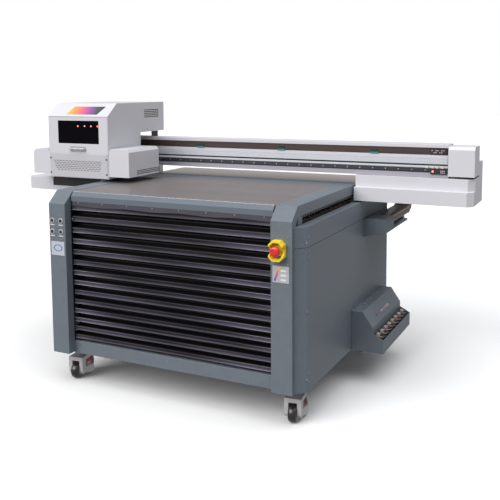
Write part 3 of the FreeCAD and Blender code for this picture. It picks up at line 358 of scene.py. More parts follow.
def brick(low, high, soft):
    """A box with its twelve edges cut back by soft: four rings up Z round an eight-sided outline."""
    (x0, y0, z0), (x1, y1, z1) = low, high

    def ring(z, inset):
        a, b, c, d = x0 + inset, x1 - inset, y0 + inset, y1 - inset
        return [
            (a + soft, c, z), (b - soft, c, z), (b, c + soft, z), (b, d - soft, z),
            (b - soft, d, z), (a + soft, d, z), (a, d - soft, z), (a, c + soft, z),
        ]

    return skin([ring(z0, soft), ring(z0 + soft, 0), ring(z1 - soft, 0), ring(z1, soft)])


def placed(shape, where=(0, 0, 0), facing=(0, 0, 1)):
    """The shape with its Z axis turned to facing and its origin moved to where."""
    points, faces = shape
    turn = Vector((0, 0, 1)).rotation_difference(Vector(facing)).to_matrix()
    return points @ np.array(turn).T + np.array(where), faces


def piece_of(name, shapes, materials, body, crease=32, slots=None):
    """One object from several shapes. slots gives each shape's material, the first where left out."""
    points, faces, marks, start = [], [], [], 0
    for index, (corners, loops) in enumerate(shapes):
        points.append(corners)
        faces += [[start + k for k in loop] for loop in loops]
        marks += [slots[index] if slots else 0] * len(loops)
        start += len(corners)
    mesh = bpy.data.meshes.new(name)
    mesh.from_pydata(np.concatenate(points).tolist(), [], faces)
    for material in materials if isinstance(materials, (list, tuple)) else [materials]:
        mesh.materials.append(material)
    mesh.polygons.foreach_set("material_index", marks)
    work = bmesh.new()
    work.from_mesh(mesh)
    bmesh.ops.recalc_face_normals(work, faces=work.faces)
    work.to_mesh(mesh)
    work.free()
    mesh.shade_smooth()
    mesh.set_sharp_from_angle(angle=math.radians(crease))
    made = bpy.data.objects.new(name, mesh)
    bpy.context.collection.objects.link(made)
    if body:
        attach(made, body)
    return made


def metal(name, tint, gloss, brushed=(1, 1, 1), grain=900, clean=1.0):
    """Bare metal: fine lines along one axis, slow tarnish, and a slightly uneven polish."""
    made = Finish(name)
    lines = made.noise(grain, 3.0, where=made.stretched(brushed))
    tarnish = made.noise(22, 4.0, 0.6)
    darker = tuple(0.74 * value for value in tint)
    return made.close(
        bump=lines, depth=0.00004,
        Base_Color=(tarnish * 0.55).mix(tint, darker),
        Roughness=gloss + 0.14 * lines + 0.06 * tarnish,
        Metallic=clean,
    )


def moulded(name, tint, gloss=0.42, coat=0.0, grain=1100):
    """Moulded plastic or rubber: a fine spark-eroded grain, a little fading and greasy patches."""
    made = Finish(name)
    fine = made.noise(grain, 2.0)
    patch = made.noise(17, 3.0, 0.6)
    faded = tuple(0.82 * value + 0.03 for value in tint)
    return made.close(
        bump=fine, depth=0.00006,
        Base_Color=(patch * 0.6).mix(tint, faded),
        Roughness=gloss + 0.12 * patch, Coat_Weight=coat, Coat_Roughness=0.15,
    )


zinc = metal("zinc_screw", (0.48, 0.47, 0.46), 0.30)
blackened = metal("blackened_steel", (0.045, 0.045, 0.05), 0.38, clean=0.85)
rubber = moulded("black_rubber", (0.012, 0.012, 0.014), 0.55)
black_plastic = moulded("black_plastic", (0.016, 0.015, 0.018), 0.36)


def socket_head(radius, height):
    """A cap screw's head: a rounded rim and a recess that narrows to a hexagonal socket."""
    rim = 0.18 * radius
    outside = [(0.97 * radius, 0), (radius, 0.1 * height), (radius, height - rim), (radius - rim, height)]
    recess = [(0.58 * radius, height), (0.52 * radius, 0.45 * height), (0.05 * radius, 0.4 * height)]
    return spun(outside + recess, 18)


def fastened(name, places, facing, radius, height, body, material=zinc):
    """A row of socket heads, one piece."""
    heads = [placed(socket_head(radius, height), where, facing) for where in places]
    return piece_of(name, heads, material, body)


def surface(node, *materials):
    """Gives a CAD node its finished materials in place of its plain ones."""
    for index, slot in enumerate(frame["nodes"][node].material_slots):
        slot.material = materials[min(index, len(materials) - 1)]


def middle_of(node):
    """Middle of a CAD node's box."""
    return sum(np.array(corner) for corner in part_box(node)) / 2


COVER_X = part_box("cabinet_covers")[1][0]
HEAD_SUNK = 0.0023
side_heads = [
    placed(socket_head(0.0055, 0.0022), (side * (COVER_X - HEAD_SUNK), y, z), (side, 0, 0))
    for z in (0.200, 0.470, 0.736) for y in (-0.570, 0.500) for side in (-1, 1)
]
piece_of("side_cover_screws", side_heads, zinc, "base")
surface("cover_screws", zinc)


# ---------------------------------------------------------------- bed and lift
# A honed grey bed plate with fine suction holes coloured as painted shade, its front rail with a painted
# bright highlight along its top edge, the lift's chromed columns, and the dark tube frame underneath.
BED_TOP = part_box("bed_plate")[1][2]
HOLE_PITCH = 0.020
HOLE_RADIUS_SQUARED = 1.1e-6


def honed_bed():
    """Grey composite plate: fine suction holes on a 20 mm grid, coloured near black as painted shade inside
    them, speckle, and slow polish marks.
    """
    made = Finish("honed_bed_plate")
    x, y = made.axis("X"), made.axis("Y")
    across = made.place.math("PINGPONG", x + 500 * HOLE_PITCH, HOLE_PITCH / 2)
    along = made.place.math("PINGPONG", y + 500 * HOLE_PITCH, HOLE_PITCH / 2)
    hole_with_painted_shade = (across * across + along * along) < HOLE_RADIUS_SQUARED
    speckle = made.noise(900, 2.0)
    marks = made.noise(6, 5.0, 0.6, where=made.stretched((0.25, 1, 1)))
    base = marks.mix((0.150, 0.132, 0.132), (0.190, 0.168, 0.168))
    return made.close(
        bump=speckle - hole_with_painted_shade * 4.0, depth=0.00006,
        # The holes are coloured near black: painted shade inside them.
        Base_Color=hole_with_painted_shade.mix(base, (0.03, 0.028, 0.028)), Roughness=0.36 + 0.2 * marks, Coat_Weight=0.1,
    )


def rail_with_painted_edge_highlight():
    """Slate paint with bright metal-coloured specks along the rail's upper edge, a painted highlight on the
    edge.
    """
    made = Finish("front_rail_painted_edge_highlight")
    edge = made.place.node("MapRange", Value=made.axis("Z"), From_Min=BED_TOP - 0.0060,
                           From_Max=BED_TOP - 0.0002, To_Min=-0.60, To_Max=0.34)
    specks = made.noise(240, 4.0, 0.75)
    # The bright specks along the top edge are a painted highlight, drawn as bare metal.
    edge_highlight_specks = (edge + specks) > 0.62
    grain = made.noise(ORANGE_PEEL, 3.0)
    return made.close(
        bump=grain - edge_highlight_specks * 0.5, depth=0.00008,
        Base_Color=edge_highlight_specks.mix(SLATE, (0.66, 0.64, 0.62)),
        Roughness=0.40 - 0.10 * edge_highlight_specks, Metallic=edge_highlight_specks * 0.7, Coat_Weight=0.12,
    )


dark_frame = powder_coat("black_frame_paint", (0.030, 0.032, 0.036), (0.022, 0.023, 0.026), 0.45)
chrome = metal("chromed_rod", (0.62, 0.62, 0.63), 0.08, (1, 1, 0.03), 700)
aluminium = metal("brushed_aluminium", (0.55, 0.55, 0.57), 0.28, (0.02, 1, 1), 700)
surface("bed_plate", honed_bed())
surface("table_front_rail", rail_with_painted_edge_highlight())
surface("table_frame", dark_frame)
surface("base_frame", dark_frame)
surface("lift_rods", chrome)
surface("lift_tubes", blackened)
surface("control_box", powder_coat("control_box_paint", (0.42, 0.43, 0.42), (0.39, 0.40, 0.39), 0.42))
surface("y_linear_guides", metal("y_guide_steel", (0.30, 0.25, 0.22), 0.30, (1, 0.03, 1), 800))
surface("y_drive_screw", metal("rolled_screw", (0.40, 0.39, 0.37), 0.24, (1, 20, 1), 120))
surface("y_motor", moulded("motor_black", (0.02, 0.02, 0.022), 0.40, 0.2))


def rear_deck_painted_light():
    """Glossy deck coloured with painted light: a warm brown painted reflection, pale tan at the rear and
    darkening to dark brown towards the bed as painted shade from the beam, with smeared polish.
    """
    made = Finish("rear_deck_painted_reflection_and_shade")
    low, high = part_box("rear_deck")
    depth = made.place.node("MapRange", Value=made.axis("Y"), From_Min=low[1], From_Max=high[1])
    smear = made.noise(9, 5.0, 0.62, where=made.stretched((0.3, 1, 1)))
    # The ramp along Y paints light into the colour: a warm painted reflection that darkens towards the bed as
    # painted shade.
    shade = made.place.node("ValToRGB", {"stops": [
        (0.0, (0.10, 0.075, 0.07)), (0.25, (0.16, 0.12, 0.11)), (1.0, (0.36, 0.30, 0.27)),
    ]}, Fac=depth + 0.25 * smear)
    return made.close(
        bump=smear, depth=0.00012, Base_Color=shade, Roughness=0.22 + 0.14 * smear, Coat_Weight=0.5,
    )


surface("rear_deck", rear_deck_painted_light())


curtain_low, curtain_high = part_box("front_bellows")


def pleats():
    """Bellows skin S(u, v) = (x, y(u) + sag(u, v), z(u)), with two ridges a pleat and a shallow belly.

    u runs up the front and down the back of the folded sheet, and v runs across the machine.
    """
    low, high = curtain_low, curtain_high
    count, thick, inset = 14, 0.0016, 0.001
    deep = high[1] - low[1] - 0.004
    part, inward = np.array([
        (0, 1.0), (0.10, 0.96), (0.20, 0.55), (0.27, 0.08), (0.30, 0.0), (0.34, 0.07),
        (0.50, 0.10), (0.66, 0.07), (0.70, 0.0), (0.73, 0.08), (0.80, 0.55), (0.90, 0.96)]).T
    folds = np.append(0.0, np.cumsum(np.linspace(0.80, 1.10, count)))
    folds = low[2] + inset + folds / folds[-1] * (high[2] - low[2] - 2 * inset)
    z = np.append((folds[:-1, None] + part * np.diff(folds)[:, None]).ravel(), folds[-1])
    y = low[1] + inset + deep * np.append(np.tile(inward, count), 1.0)
    y, z = np.append(y, y[::-1] + thick), np.append(z, z[::-1])
    x = np.linspace(low[0] + 0.0005, high[0] - 0.0005, 49)[:, None]
    belly = 0.0022 * np.sin(np.pi * (x - low[0]) / (high[0] - low[0]))
    wave = 0.0009 * np.sin(37.0 * z + 9.0 * x) * np.sin(5.0 * x)
    y = np.clip(y + belly + wave, low[1] + 0.0003, high[1] - 0.0005)
    return skin(np.stack([x + 0 * y, y, z + 0 * y], -1))


def bellows_cloth():
    """Coated black fabric with a fine weave, a purple-grey painted sheen on the ridge faces, bright painted
    highlights along their front edges, and the slopes between left near black as painted shade.
    """
    made = Finish("bellows_cloth")
    front = curtain_low[1]
    weave = made.place.node("TexWave", {"wave_type": "BANDS", "bands_direction": "DIAGONAL"}, 1,
                            Vector=made.place, Scale=340.0, Distortion=2.0, Detail=2.0)
    wear_and_highlight_noise = made.noise(40, 4.0, 0.7)
    depth = made.axis("Y")
    # Painted light: the ridge faces get a purple-grey painted sheen, their front edges a bright painted
    # highlight, and the slopes stay near black as painted shade.
    face = depth.node("MapRange", Value=depth, From_Min=front + 0.0065, From_Max=front + 0.0035)
    edge = depth.node("MapRange", Value=depth, From_Min=front + 0.0026, From_Max=front + 0.0012)
    sheen_patches = made.noise(60, 3.0, 0.6, where=made.stretched((0.05, 1, 1)))
    tint = (face * (0.35 + 0.9 * sheen_patches)).mix((0.0018, 0.0014, 0.0020), (0.090, 0.080, 0.112))
    tint = (edge * (0.40 + 0.9 * wear_and_highlight_noise)).mix(tint, (0.42, 0.39, 0.50))
    return made.close(bump=weave, depth=0.00006, Base_Color=tint, Roughness=0.46 + 0.16 * wear_and_highlight_noise,
                      Specular_IOR_Level=0.28)


curtain = piece_of("folded_bellows", [pleats()], bellows_cloth(), "base", crease=60)
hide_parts("front_bellows")
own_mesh(curtain)

rail_low, rail_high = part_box("table_front_rail")


def hanging_flap():
    """Cloth strip under the front rail, S(u, v): v goes round its thin section, whose front ripples along u."""
    front, under = rail_low[1], rail_low[2]
    x = np.linspace(rail_low[0] + 0.004, rail_high[0] - 0.004, 60)
    level = np.zeros_like(x)
    face = front + 0.0006 + 0.0005 * np.sin(41 * x) + 0.0003 * np.sin(97 * x + 1.0)
    hem = under - 0.0200 + 0.0022 * np.sin(23 * x)
    y = np.stack([face, face, level + front + 0.0002, level + front + 0.0012, level + front + 0.0014], -1)
    z = np.stack([hem, level + under - 0.010, level + under - 0.0005, level + under - 0.0005, hem], -1)
    return skin(np.stack([x[:, None] + 0 * y, y, z], -1))


flap_cloth = moulded("flap_cloth", (0.060, 0.054, 0.072), 0.36, 0.2, 340)
piece_of("bellows_top_flap", [hanging_flap()], flap_cloth, "table", crease=50)
fastened("flap_screws", [(x, rail_low[1] + 0.0012, rail_low[2] - 0.0055) for x in np.linspace(-0.45, 0.45, 8)],
         (0, -1, 0), 0.0034, 0.0018, "table", metal("copper_tinted_screw", (0.50, 0.36, 0.34), 0.35))


# ---------------------------------------------------------------- side slots
# The long slots under the side rails: rubber combs that close them, the
# guides' bolts below, and a small pale stop at each front end.
COMB_PITCH, COMB_LENGTH = 0.029, 0.0235
BOLT_PITCH = 0.060
GUIDE_X = 0.557


def beside(side, near, far, front, back, low, high, soft):
    """A block on one side of the machine, between two distances from its middle plane."""
    left, right = sorted((side * near, side * far))
    return brick((left, front, low), (right, back, high), soft)


combs = [beside(side, 0.5705, 0.5800, y, y + COMB_LENGTH, 0.8205, 0.8325, 0.0022)
         for side in (-1, 1) for y in np.arange(-0.512, 0.178, COMB_PITCH)]
piece_of("slot_combs", combs, moulded("comb_rubber", (0.012, 0.022, 0.030), 0.30, 0.6), "base", crease=50)
guide_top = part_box("y_linear_guides")[1][2]
bolts = [(side * GUIDE_X, y, guide_top - 0.001)
         for side in (-1, 1) for y in np.arange(-0.50, 0.42, BOLT_PITCH)]
fastened("y_guide_bolts", bolts, (0, 0, 1), 0.0045, 0.0035, "base")
cream = moulded("cream_plastic", (0.70, 0.66, 0.58), 0.4)
piece_of("slot_end_stops", [beside(side, 0.560, 0.5795, -0.5205, -0.5155, 0.8040, 0.8170, 0.0012)
                            for side in (-1, 1)], cream, "base")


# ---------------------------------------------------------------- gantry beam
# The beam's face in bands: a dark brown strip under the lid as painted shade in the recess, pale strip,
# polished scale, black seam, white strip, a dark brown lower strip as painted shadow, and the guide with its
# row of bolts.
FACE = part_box("beam_extrusion")[0][1] + 0.0050
BAND_LEFT, BAND_RIGHT = -1.052, 1.003
CLIP_X = (-0.235, 0.212, 0.673)
surface("beam_extrusion", powder_coat("beam_lavender_coat", (0.40, 0.385, 0.44), (0.36, 0.345, 0.40), 0.34))
surface("gantry_arms", aluminium)


def band(low, high, out):
    """A long strip on the beam's face, between two heights, that stands out from it."""
    return brick((BAND_LEFT, FACE - out, low), (BAND_RIGHT, FACE, high), 0.0008)


# Painted shade: dark brown strips stand for the shade in the recess under the lid and the warm shadow along the
# beam's lower edge.
painted_shade_metal = metal("bronze_painted_shade_strip", (0.085, 0.062, 0.055), 0.36, (0.03, 1, 1), 500, clean=0.5)
polished = metal("polished_scale", (0.70, 0.73, 0.79), 0.22, (0.02, 1, 1), 500, clean=0.25)
for name, material, bands in (
    ("recess_painted_shade_strip", painted_shade_metal, [(1.026, 1.055, 0.0016)]),
    ("pale_strip", white, [(1.0075, 1.0240, 0.0030), (0.9665, 0.9765, 0.0024)]),
    ("polished_scale", polished, [(0.9835, 1.0065, 0.0042)]),
    ("black_seam", rubber, [(0.9772, 0.9828, 0.0012)]),
    ("lower_painted_shadow_band", painted_shade_metal, [(0.9440, 0.9500, 0.0020)]),
):
    piece_of(name, [band(*sizes) for sizes in bands], material, "gantry")

guide_front, guide_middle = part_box("x_linear_guide")[0][1], middle_of("x_linear_guide")[2]
surface("x_linear_guide", metal("x_guide_steel", (0.070, 0.070, 0.090), 0.30, (0.03, 1, 1), 800, clean=0.6))
bolts = [(x, guide_front + 0.0045, guide_middle) for x in np.arange(-1.015, 0.99, BOLT_PITCH)]
fastened("x_guide_bolts", bolts, (0, -1, 0), 0.0038, 0.0032, "gantry", aluminium)
clips = [brick((x - 0.020, FACE - 0.0062, 1.0225), (x + 0.020, FACE - 0.0016, 1.0305), 0.0012)
         for x in CLIP_X]
piece_of("cable_clips", clips, moulded("teal_clip", (0.03, 0.22, 0.24), 0.35, 0.4), "gantry")
saddles = [brick((x - 0.017, FACE - 0.0056, 1.0300), (x + 0.017, FACE - 0.0016, 1.0420), 0.0014)
           for x in CLIP_X]
piece_of("cable_clip_saddles", saddles, black_plastic, "gantry")

boards = [brick((0.925, FACE - 0.0050, 1.0270), (0.999, FACE - 0.0014, 1.0520), 0.0012),
          brick((0.928, FACE - 0.0110, 0.9400), (1.001, FACE - 0.0078, 0.9640), 0.0012)]
piece_of("limit_sensor_boards", boards, black_plastic, "gantry")
dot = [(0.0001, 0), (0.0026, 0.0004), (0.0022, 0.0011), (0.0001, 0.0014)]
specks = [placed(spun(dot, 10), (0.934 + 0.0085 * i, FACE - 0.0048, 1.0345 + 0.009 * j), (0, -1, 0))
          for i in range(7) for j in range(2) if (2 * i + j) % 3]
specks += [placed(spun(dot, 10), (0.975 + 0.007 * i, FACE - 0.0108, 0.9470 + 0.008 * j), (0, -1, 0))
           for i in range(3) for j in range(2)]
piece_of("sensor_board_specks", specks, moulded("pink_speck", (0.72, 0.52, 0.58), 0.4), "gantry")
sockets = [brick((x, FACE - 0.0072, 0.9650), (x + 0.014, FACE - 0.0024, 0.9750), 0.0010)
           for x in (0.905, 0.930, 0.950, 0.972)]
piece_of("strip_connectors", sockets, cream, "gantry")


def glowing(name, tint, power):
    """A lit indicator lens: clear moulded plastic with a glow mottled by fine noise."""
    made = Finish(name)
    cloud = made.noise(600, 2.0)
    glow = cloud.mix(tint, tuple(min(1.0, 0.3 + value) for value in tint))
    return made.close(Base_Color=glow, Emission_Color=glow, Emission_Strength=power, Roughness=0.2)


red_lamp = glowing("red_indicator", (1.0, 0.04, 0.02), 2.2)
lens = spun([(0.0045, 0), (0.0045, 0.0012), (0.0034, 0.0026), (0.0012, 0.0033), (0.0001, 0.0034)], 20)
piece_of("beam_indicator", [placed(lens, (0.939, FACE - 0.0108, 0.9520), (0, -1, 0))], red_lamp, "gantry")


def toothed_rubber():
    """Black belt rubber with a tooth every 5 mm along X."""
    made = Finish("toothed_belt")
    tooth = made.place.math("PINGPONG", made.axis("X") + 10.0, 0.0025)
    return made.close(bump=tooth * 400.0, depth=0.0004, Roughness=0.6,
                      Base_Color=made.noise(300).mix((0.012, 0.012, 0.012), (0.03, 0.03, 0.03)))


surface("x_belt", toothed_rubber())
surface("x_drive_pulley", aluminium)
surface("x_idler_pulley", aluminium)
surface("x_motor", moulded("stepper_black", (0.018, 0.018, 0.02), 0.38, 0.3))
surface("x_slider_block", aluminium)


# ---------------------------------------------------------------- print carriage
# The white cover with its smoked window and red pilot lamps, door handle,
# perforated panel, badge and louvres, and the heads underneath it.
DOOR_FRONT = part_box("carriage_door")[0][1]
shell_low, shell_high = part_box("carriage_shell")
FRONT, RIGHT = shell_low[1], shell_high[0]


def smoked_glass():
    """Near-black acrylic: glossy, with faint smears."""
    made = Finish("smoked_window")
    smear = made.noise(14, 5.0, 0.6, where=made.stretched((1, 1, 0.4)))
    return made.close(
        Base_Color=smear.mix((0.0015, 0.001, 0.0018), (0.005, 0.004, 0.006)), Roughness=0.14 + 0.10 * smear,
        Specular_IOR_Level=0.045, bump=smear, depth=0.00004,
    )


surface("door_window", smoked_glass())
glass_low, glass_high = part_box("door_window")
pilot = spun([(0.0038, 0), (0.0035, 0.0008), (0.0018, 0.0013), (0.0001, 0.0014)], 16)
lamps = [placed(pilot, (x, glass_low[1] + 0.0002, glass_high[2] - 0.0260), (0, -1, 0))
         for x in (-0.698, -0.657, -0.619, -0.580)]
piece_of("pilot_lamps", lamps, red_lamp, "door")


def bar_handle(left, right, y, z, out, radius):
    """A round bar P(t, a) = C(t) + r (cos a wide + sin a up), whose two ends bend back to the door."""
    bend = 0.010
    turn = np.linspace(0, np.pi / 2, 6)
    x = np.append(left, left + bend * (1 - np.cos(turn)))
    back = np.append(y, y - out + bend * (1 - np.sin(turn)))
    between = np.linspace(left + 1.5 * bend, right - 1.5 * bend, 8)
    x = np.concatenate([x, between, left + right - x[::-1]])
    back = np.concatenate([back, 0 * between + y - out, back[::-1]])
    centres = np.stack([x, back, 0 * x + z], -1)
    tangents = np.gradient(centres, axis=0)
    tangents /= np.linalg.norm(tangents, axis=1, keepdims=True)
    up = np.array([0, 0, 1.0])
    wide = np.cross(tangents, up)[:, None]
    angle = np.linspace(0, 2 * np.pi, 14, endpoint=False)[:, None]
    return skin(centres[:, None] + radius * (np.cos(angle) * wide + np.sin(angle) * up))


piece_of("door_handle", [
    bar_handle(-0.744, -0.656, DOOR_FRONT + 0.0010, 1.0330, 0.0140, 0.0042),
    brick((-0.7490, DOOR_FRONT - 0.0016, 1.0190), (-0.6510, DOOR_FRONT + 0.0004, 1.0250), 0.0007),
    brick((-0.7490, DOOR_FRONT - 0.0012, 1.0400), (-0.6510, DOOR_FRONT + 0.0004, 1.0430), 0.0006),
], metal("satin_handle", (0.52, 0.51, 0.53), 0.3, clean=0.6), "door")


def perforated_sheet():
    """White sheet with a trapezium of slots, 9 x 4 mm every 20 mm, in staggered rows 9 mm apart."""
    made = Finish("perforated_panel")
    x, z = made.axis("X"), made.axis("Z")
    half_pitch, half_row = 0.010, 0.0045
    row = made.place.math("FLOOR", (z + 0.0005) / (2 * half_row))
    odd = made.place.math("MODULO", row, 2.0)
    across = made.place.math("PINGPONG", x + 10.0 + odd * half_pitch, half_pitch)
    down = made.place.math("PINGPONG", z + half_row, half_row)
    lean = (z - 0.928) * 0.44
    inside = ((x + lean) > -0.8335) * ((x - lean * 0.4) < -0.5665) * (z > 0.926) * (z < 0.975)
    hole_with_painted_shade = (across > 0.0056) * (down > 0.0024) * inside
    grain = made.noise(ORANGE_PEEL, 3.0)
    paint = made.noise(5).mix((0.5264, 0.517, 0.5546), (0.56, 0.55, 0.59))
    return made.close(
        # The slots are coloured near black: painted shade for the dark inside behind them.
        bump=grain * 0.15 - hole_with_painted_shade, depth=0.0008, Base_Color=hole_with_painted_shade.mix(paint, (0.035, 0.03, 0.035)),
        Roughness=0.40 + 0.3 * hole_with_painted_shade,
    )


panel = brick((-0.8755, FRONT - 0.0024, 0.8915), (-0.5235, FRONT - 0.0002, 1.0085), 0.0012)
piece_of("lower_vent_panel", [panel], perforated_sheet(), "carriage")
corner_spots = [(x, FRONT - 0.0022, z) for x in (-0.8690, -0.5300) for z in (0.912, 0.985)]
fastened("panel_screws", corner_spots, (0, -1, 0), 0.0042, 0.0018, "carriage", blackened)


def badge_tints():
    """A soft sweep of yellow, orange, pink and violet into dark grey, left to right, with fine lines."""
    made = Finish("colour_sweep_badge")
    along = made.axis("X") + made.axis("Z") * 0.3
    t = made.place.node("MapRange", Value=along, From_Min=-0.415, From_Max=-0.195)
    sweep = t.node("ValToRGB", {"stops": [
        (0.0, (0.75, 0.55, 0.10)), (0.2, (0.78, 0.32, 0.08)), (0.45, (0.70, 0.12, 0.25)),
        (0.62, (0.28, 0.10, 0.38)), (0.8, (0.08, 0.08, 0.10)), (1.0, (0.05, 0.05, 0.06))]}, Fac=t)
    lines = made.noise(420, 2.0, where=made.stretched((1, 0.1, 0.1)))
    return made.close(bump=lines, depth=0.00004, Base_Color=sweep, Roughness=0.25, Coat_Weight=0.6)


def slope_badge():
    """A thin plate S(i, j) on the cover's slope: its corners on the paint, then lifted and drawn in."""
    foot, top = np.array([0, FRONT, 1.191]), np.array([0, FRONT + 0.077, shell_high[2]])
    rise = (top - foot) / np.linalg.norm(top - foot)
    out = np.array([0, -rise[2], rise[1]])
    corners = np.array([(-0.778, 0.014), (-0.590, 0.014), (-0.568, 0.073), (-0.756, 0.073)])
    inward = np.array([(1, 1), (-1, 1), (-1, -1), (1, -1)])
    rings = []
    for lift, inset in ((0.0001, 0), (0.0010, 0.0006)):
        across, up = (corners + inset * inward).T[:, :, None]
        rings.append(foot + out * lift + rise * up + np.array([1.0, 0, 0]) * across)
    return skin(rings)


piece_of("slope_badge", [slope_badge()], badge_tints(), "carriage", crease=20)
surface("print_heads", moulded("head_black", (0.02, 0.02, 0.023), 0.3, 0.3))
surface("capping_station", moulded("capping_black", (0.018, 0.017, 0.020), 0.38))


SLOT_PITCH = 0.0165


def louvre(name, x, across, heights, length, width):
    """Slots facing right, P(i, a) = middle + grow(i) outline(a): a hollow behind a thin raised lip."""
    angle = np.linspace(0, 2 * np.pi, 16, endpoint=False)
    half = width / 2
    y = np.sign(np.cos(angle)) * (length / 2 - half) + half * np.cos(angle)
    z = half * np.sin(angle)
    shapes = [
        skin([np.stack([0 * angle + x + out, middle + grow * y, height + grow * z], -1)
              for grow, out in ((1.18, 0), (1.16, 0.0005), (1.0, 0.0005), (0.86, 0.0001), (0.05, 0.00005))])
        for height in heights for middle in across
    ]
    # The slots are shallow black dishes: their black stands for the shade inside the openings, painted shade.
    piece_of(name, shapes, black_plastic, "carriage", crease=50)


louvre("carriage_side_vent", RIGHT, np.arange(0.046, 0.172, SLOT_PITCH),
       np.arange(1.178, 1.222, 0.009), 0.0125, 0.0036)
louvre("lamp_side_vent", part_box("lamp_boxes")[1][0], np.arange(-0.196, -0.012, SLOT_PITCH),
       (0.9145, 0.9225, 0.9305), 0.0120, 0.0034)


# ---------------------------------------------------------------- cable chains
# Both chains are rows of real links on the path of the CAD's bent bars: two
# oval side plates and two flat cross bars.
def chain_path(start, straight, centre_radius, back, pitch):
    """Middle of each link (s, h) and its heading: along +s, round a half circle upwards, and back."""
    whole = straight + math.pi * centre_radius + back
    count = round(whole / pitch)
    along = (np.arange(count) + 0.5) * whole / count
    turned = np.clip((along - straight) / centre_radius, 0, np.pi)
    returned = np.clip(along - straight - np.pi * centre_radius, 0, None)
    s = start + np.minimum(along, straight) + centre_radius * np.sin(turned) - returned
    h = centre_radius * (1 - np.cos(turned))
    return np.stack([s, h, turned], -1), whole / count


def link_shapes(pitch, tall, wide):
    """One link about its own middle: along X, across Y, up Z. Plates come first and then the bars."""
    angle = np.linspace(0, 2 * np.pi, 20, endpoint=False)
    half = tall / 2 - 0.0006
    long = pitch / 2 + 0.22 * tall - half
    x, z = np.sign(np.cos(angle)) * long + half * np.cos(angle), half * np.sin(angle)
    plates, bars = [], []
    for sign in (-1, 1):
        plates.append(skin([
            np.stack([x * inset, 0 * x + sign * (wide / 2 - depth), z * inset], -1)
            for inset, depth in (
                (0.90, 0.0042), (1.0, 0.0034), (1.0, 0.0008), (0.93, 0), (0.60, 0), (0.54, 0.0010))
        ]))
        reach = half - 0.0030
        bars.append(brick((-0.34 * pitch, -wide / 2 + 0.0045, sign * reach - 0.0018),
                          (0.34 * pitch, wide / 2 - 0.0045, sign * reach + 0.0018), 0.0009))
    return plates, bars


def chain(name, path, pitch, tall, wide, to_frame, finishes):
    """All the links placed on a path by to_frame(s, across, h), as one piece."""
    (near, far), bars = link_shapes(pitch, tall, wide)
    shapes, slots = [], []
    for s, h, a in path:
        for (points, faces), slot in ((near, 1), (far, 0), (bars[0], 2), (bars[1], 2)):
            x = s + points[:, 0] * math.cos(a) - points[:, 2] * math.sin(a)
            z = h + points[:, 0] * math.sin(a) + points[:, 2] * math.cos(a)
            shapes.append((to_frame(x, points[:, 1], z), faces))
            slots.append(slot)
    made = piece_of(name, shapes, finishes, None, crease=40, slots=slots)
    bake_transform(made)
    return made


# Painted light: the side chain's outer plates are pale as a painted lit side, and the cross bars brown-pink as
# a painted warm reflection, on black links; the rear chain keeps both plates black.
chain_black = moulded("chain_black", (0.020, 0.016, 0.015), 0.34, 0.3)
chain_painted_lit_side = moulded("chain_side_painted_light", (0.20, 0.155, 0.135), 0.40, 0.2)
chain_bars_painted_reflection = moulded("chain_bar_painted_warm_reflection", (0.075, 0.052, 0.050), 0.30, 0.4)

side_low, side_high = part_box("y_drag_chain")
SIDE_X, SIDE_TALL, SIDE_BEND_Y, END_GAP = middle_of("y_drag_chain")[0], 0.034, 0.58975, 0.004
path, pitch = chain_path(side_low[1] + END_GAP, SIDE_BEND_Y - side_low[1] - END_GAP, 0.0645, 0.262, 0.0385)
side_chain = chain(
    "side_cable_chain", path, pitch, SIDE_TALL, side_high[0] - side_low[0],
    lambda s, across, h: np.stack([SIDE_X - across, s, side_low[2] + SIDE_TALL / 2 + h], -1),
    [chain_black, chain_painted_lit_side, chain_bars_painted_reflection],
)
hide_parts("y_drag_chain")

rear_low, rear_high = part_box("x_drag_chain")
REAR_Y, REAR_TALL, REAR_BEND_X = middle_of("x_drag_chain")[1], 0.020, 0.700
path, pitch = chain_path(END_GAP, REAR_BEND_X - END_GAP, 0.035, 0.036, 0.030)
rear_chain = chain(
    "rear_cable_chain", path, pitch, REAR_TALL, rear_high[1] - rear_low[1],
    lambda s, across, h: np.stack([-s, REAR_Y + across, rear_low[2] + REAR_TALL / 2 + h], -1),
    [chain_black, chain_black, chain_bars_painted_reflection],
)
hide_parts("x_drag_chain")


# ---------------------------------------------------------------- controls
# Emergency stop in its yellow shroud, four push buttons with pale bezels, the
# label plates on both columns, and the power inlet at the back.
COLUMN_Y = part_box("column_covers")[0][1]
BUTTON_X = (-0.5655, -0.5185)
shroud_low, shroud_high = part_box("estop_shroud")
yellow = moulded("yellow_shroud", (0.90, 0.66, 0.008), 0.34, 0.35)


def guard_ring():
    """Octagonal guard P(i, a): outside wall, rounded lip and inside wall, with a dip in both sides."""
    middle = middle_of("estop_shroud")
    wide, deep, tall = np.array(shroud_high) - np.array(shroud_low)
    wide, tall, cut = wide / 2, tall / 2, 0.016
    corners = np.array([(wide, tall - cut), (wide - cut, tall), (cut - wide, tall), (-wide, tall - cut),
                        (-wide, cut - tall), (cut - wide, -tall), (wide - cut, -tall), (wide, cut - tall)])
    steps = np.linspace(0, 1, 8, endpoint=False)[:, None]
    x, z = (corners[:, None] + (np.roll(corners, -1, axis=0) - corners)[:, None] * steps).reshape(-1, 2).T
    dip = 0.018 * np.exp(-(z / 0.0155) ** 6) * (np.abs(x) > wide - 0.004)
    rings = []
    for shrink, back in ((1.0, 1.0), (1.0, 0.06), (0.975, 0.0), (0.80, 0.0), (0.765, 0.06), (0.765, 0.93)):
        y = shroud_low[1] + 0.0003 + back * (deep - 0.0006) + dip * (back < 0.5)
        rings.append(np.stack([middle[0] + shrink * x, y, middle[2] + shrink * z], -1))
    return skin(rings, capped=False)


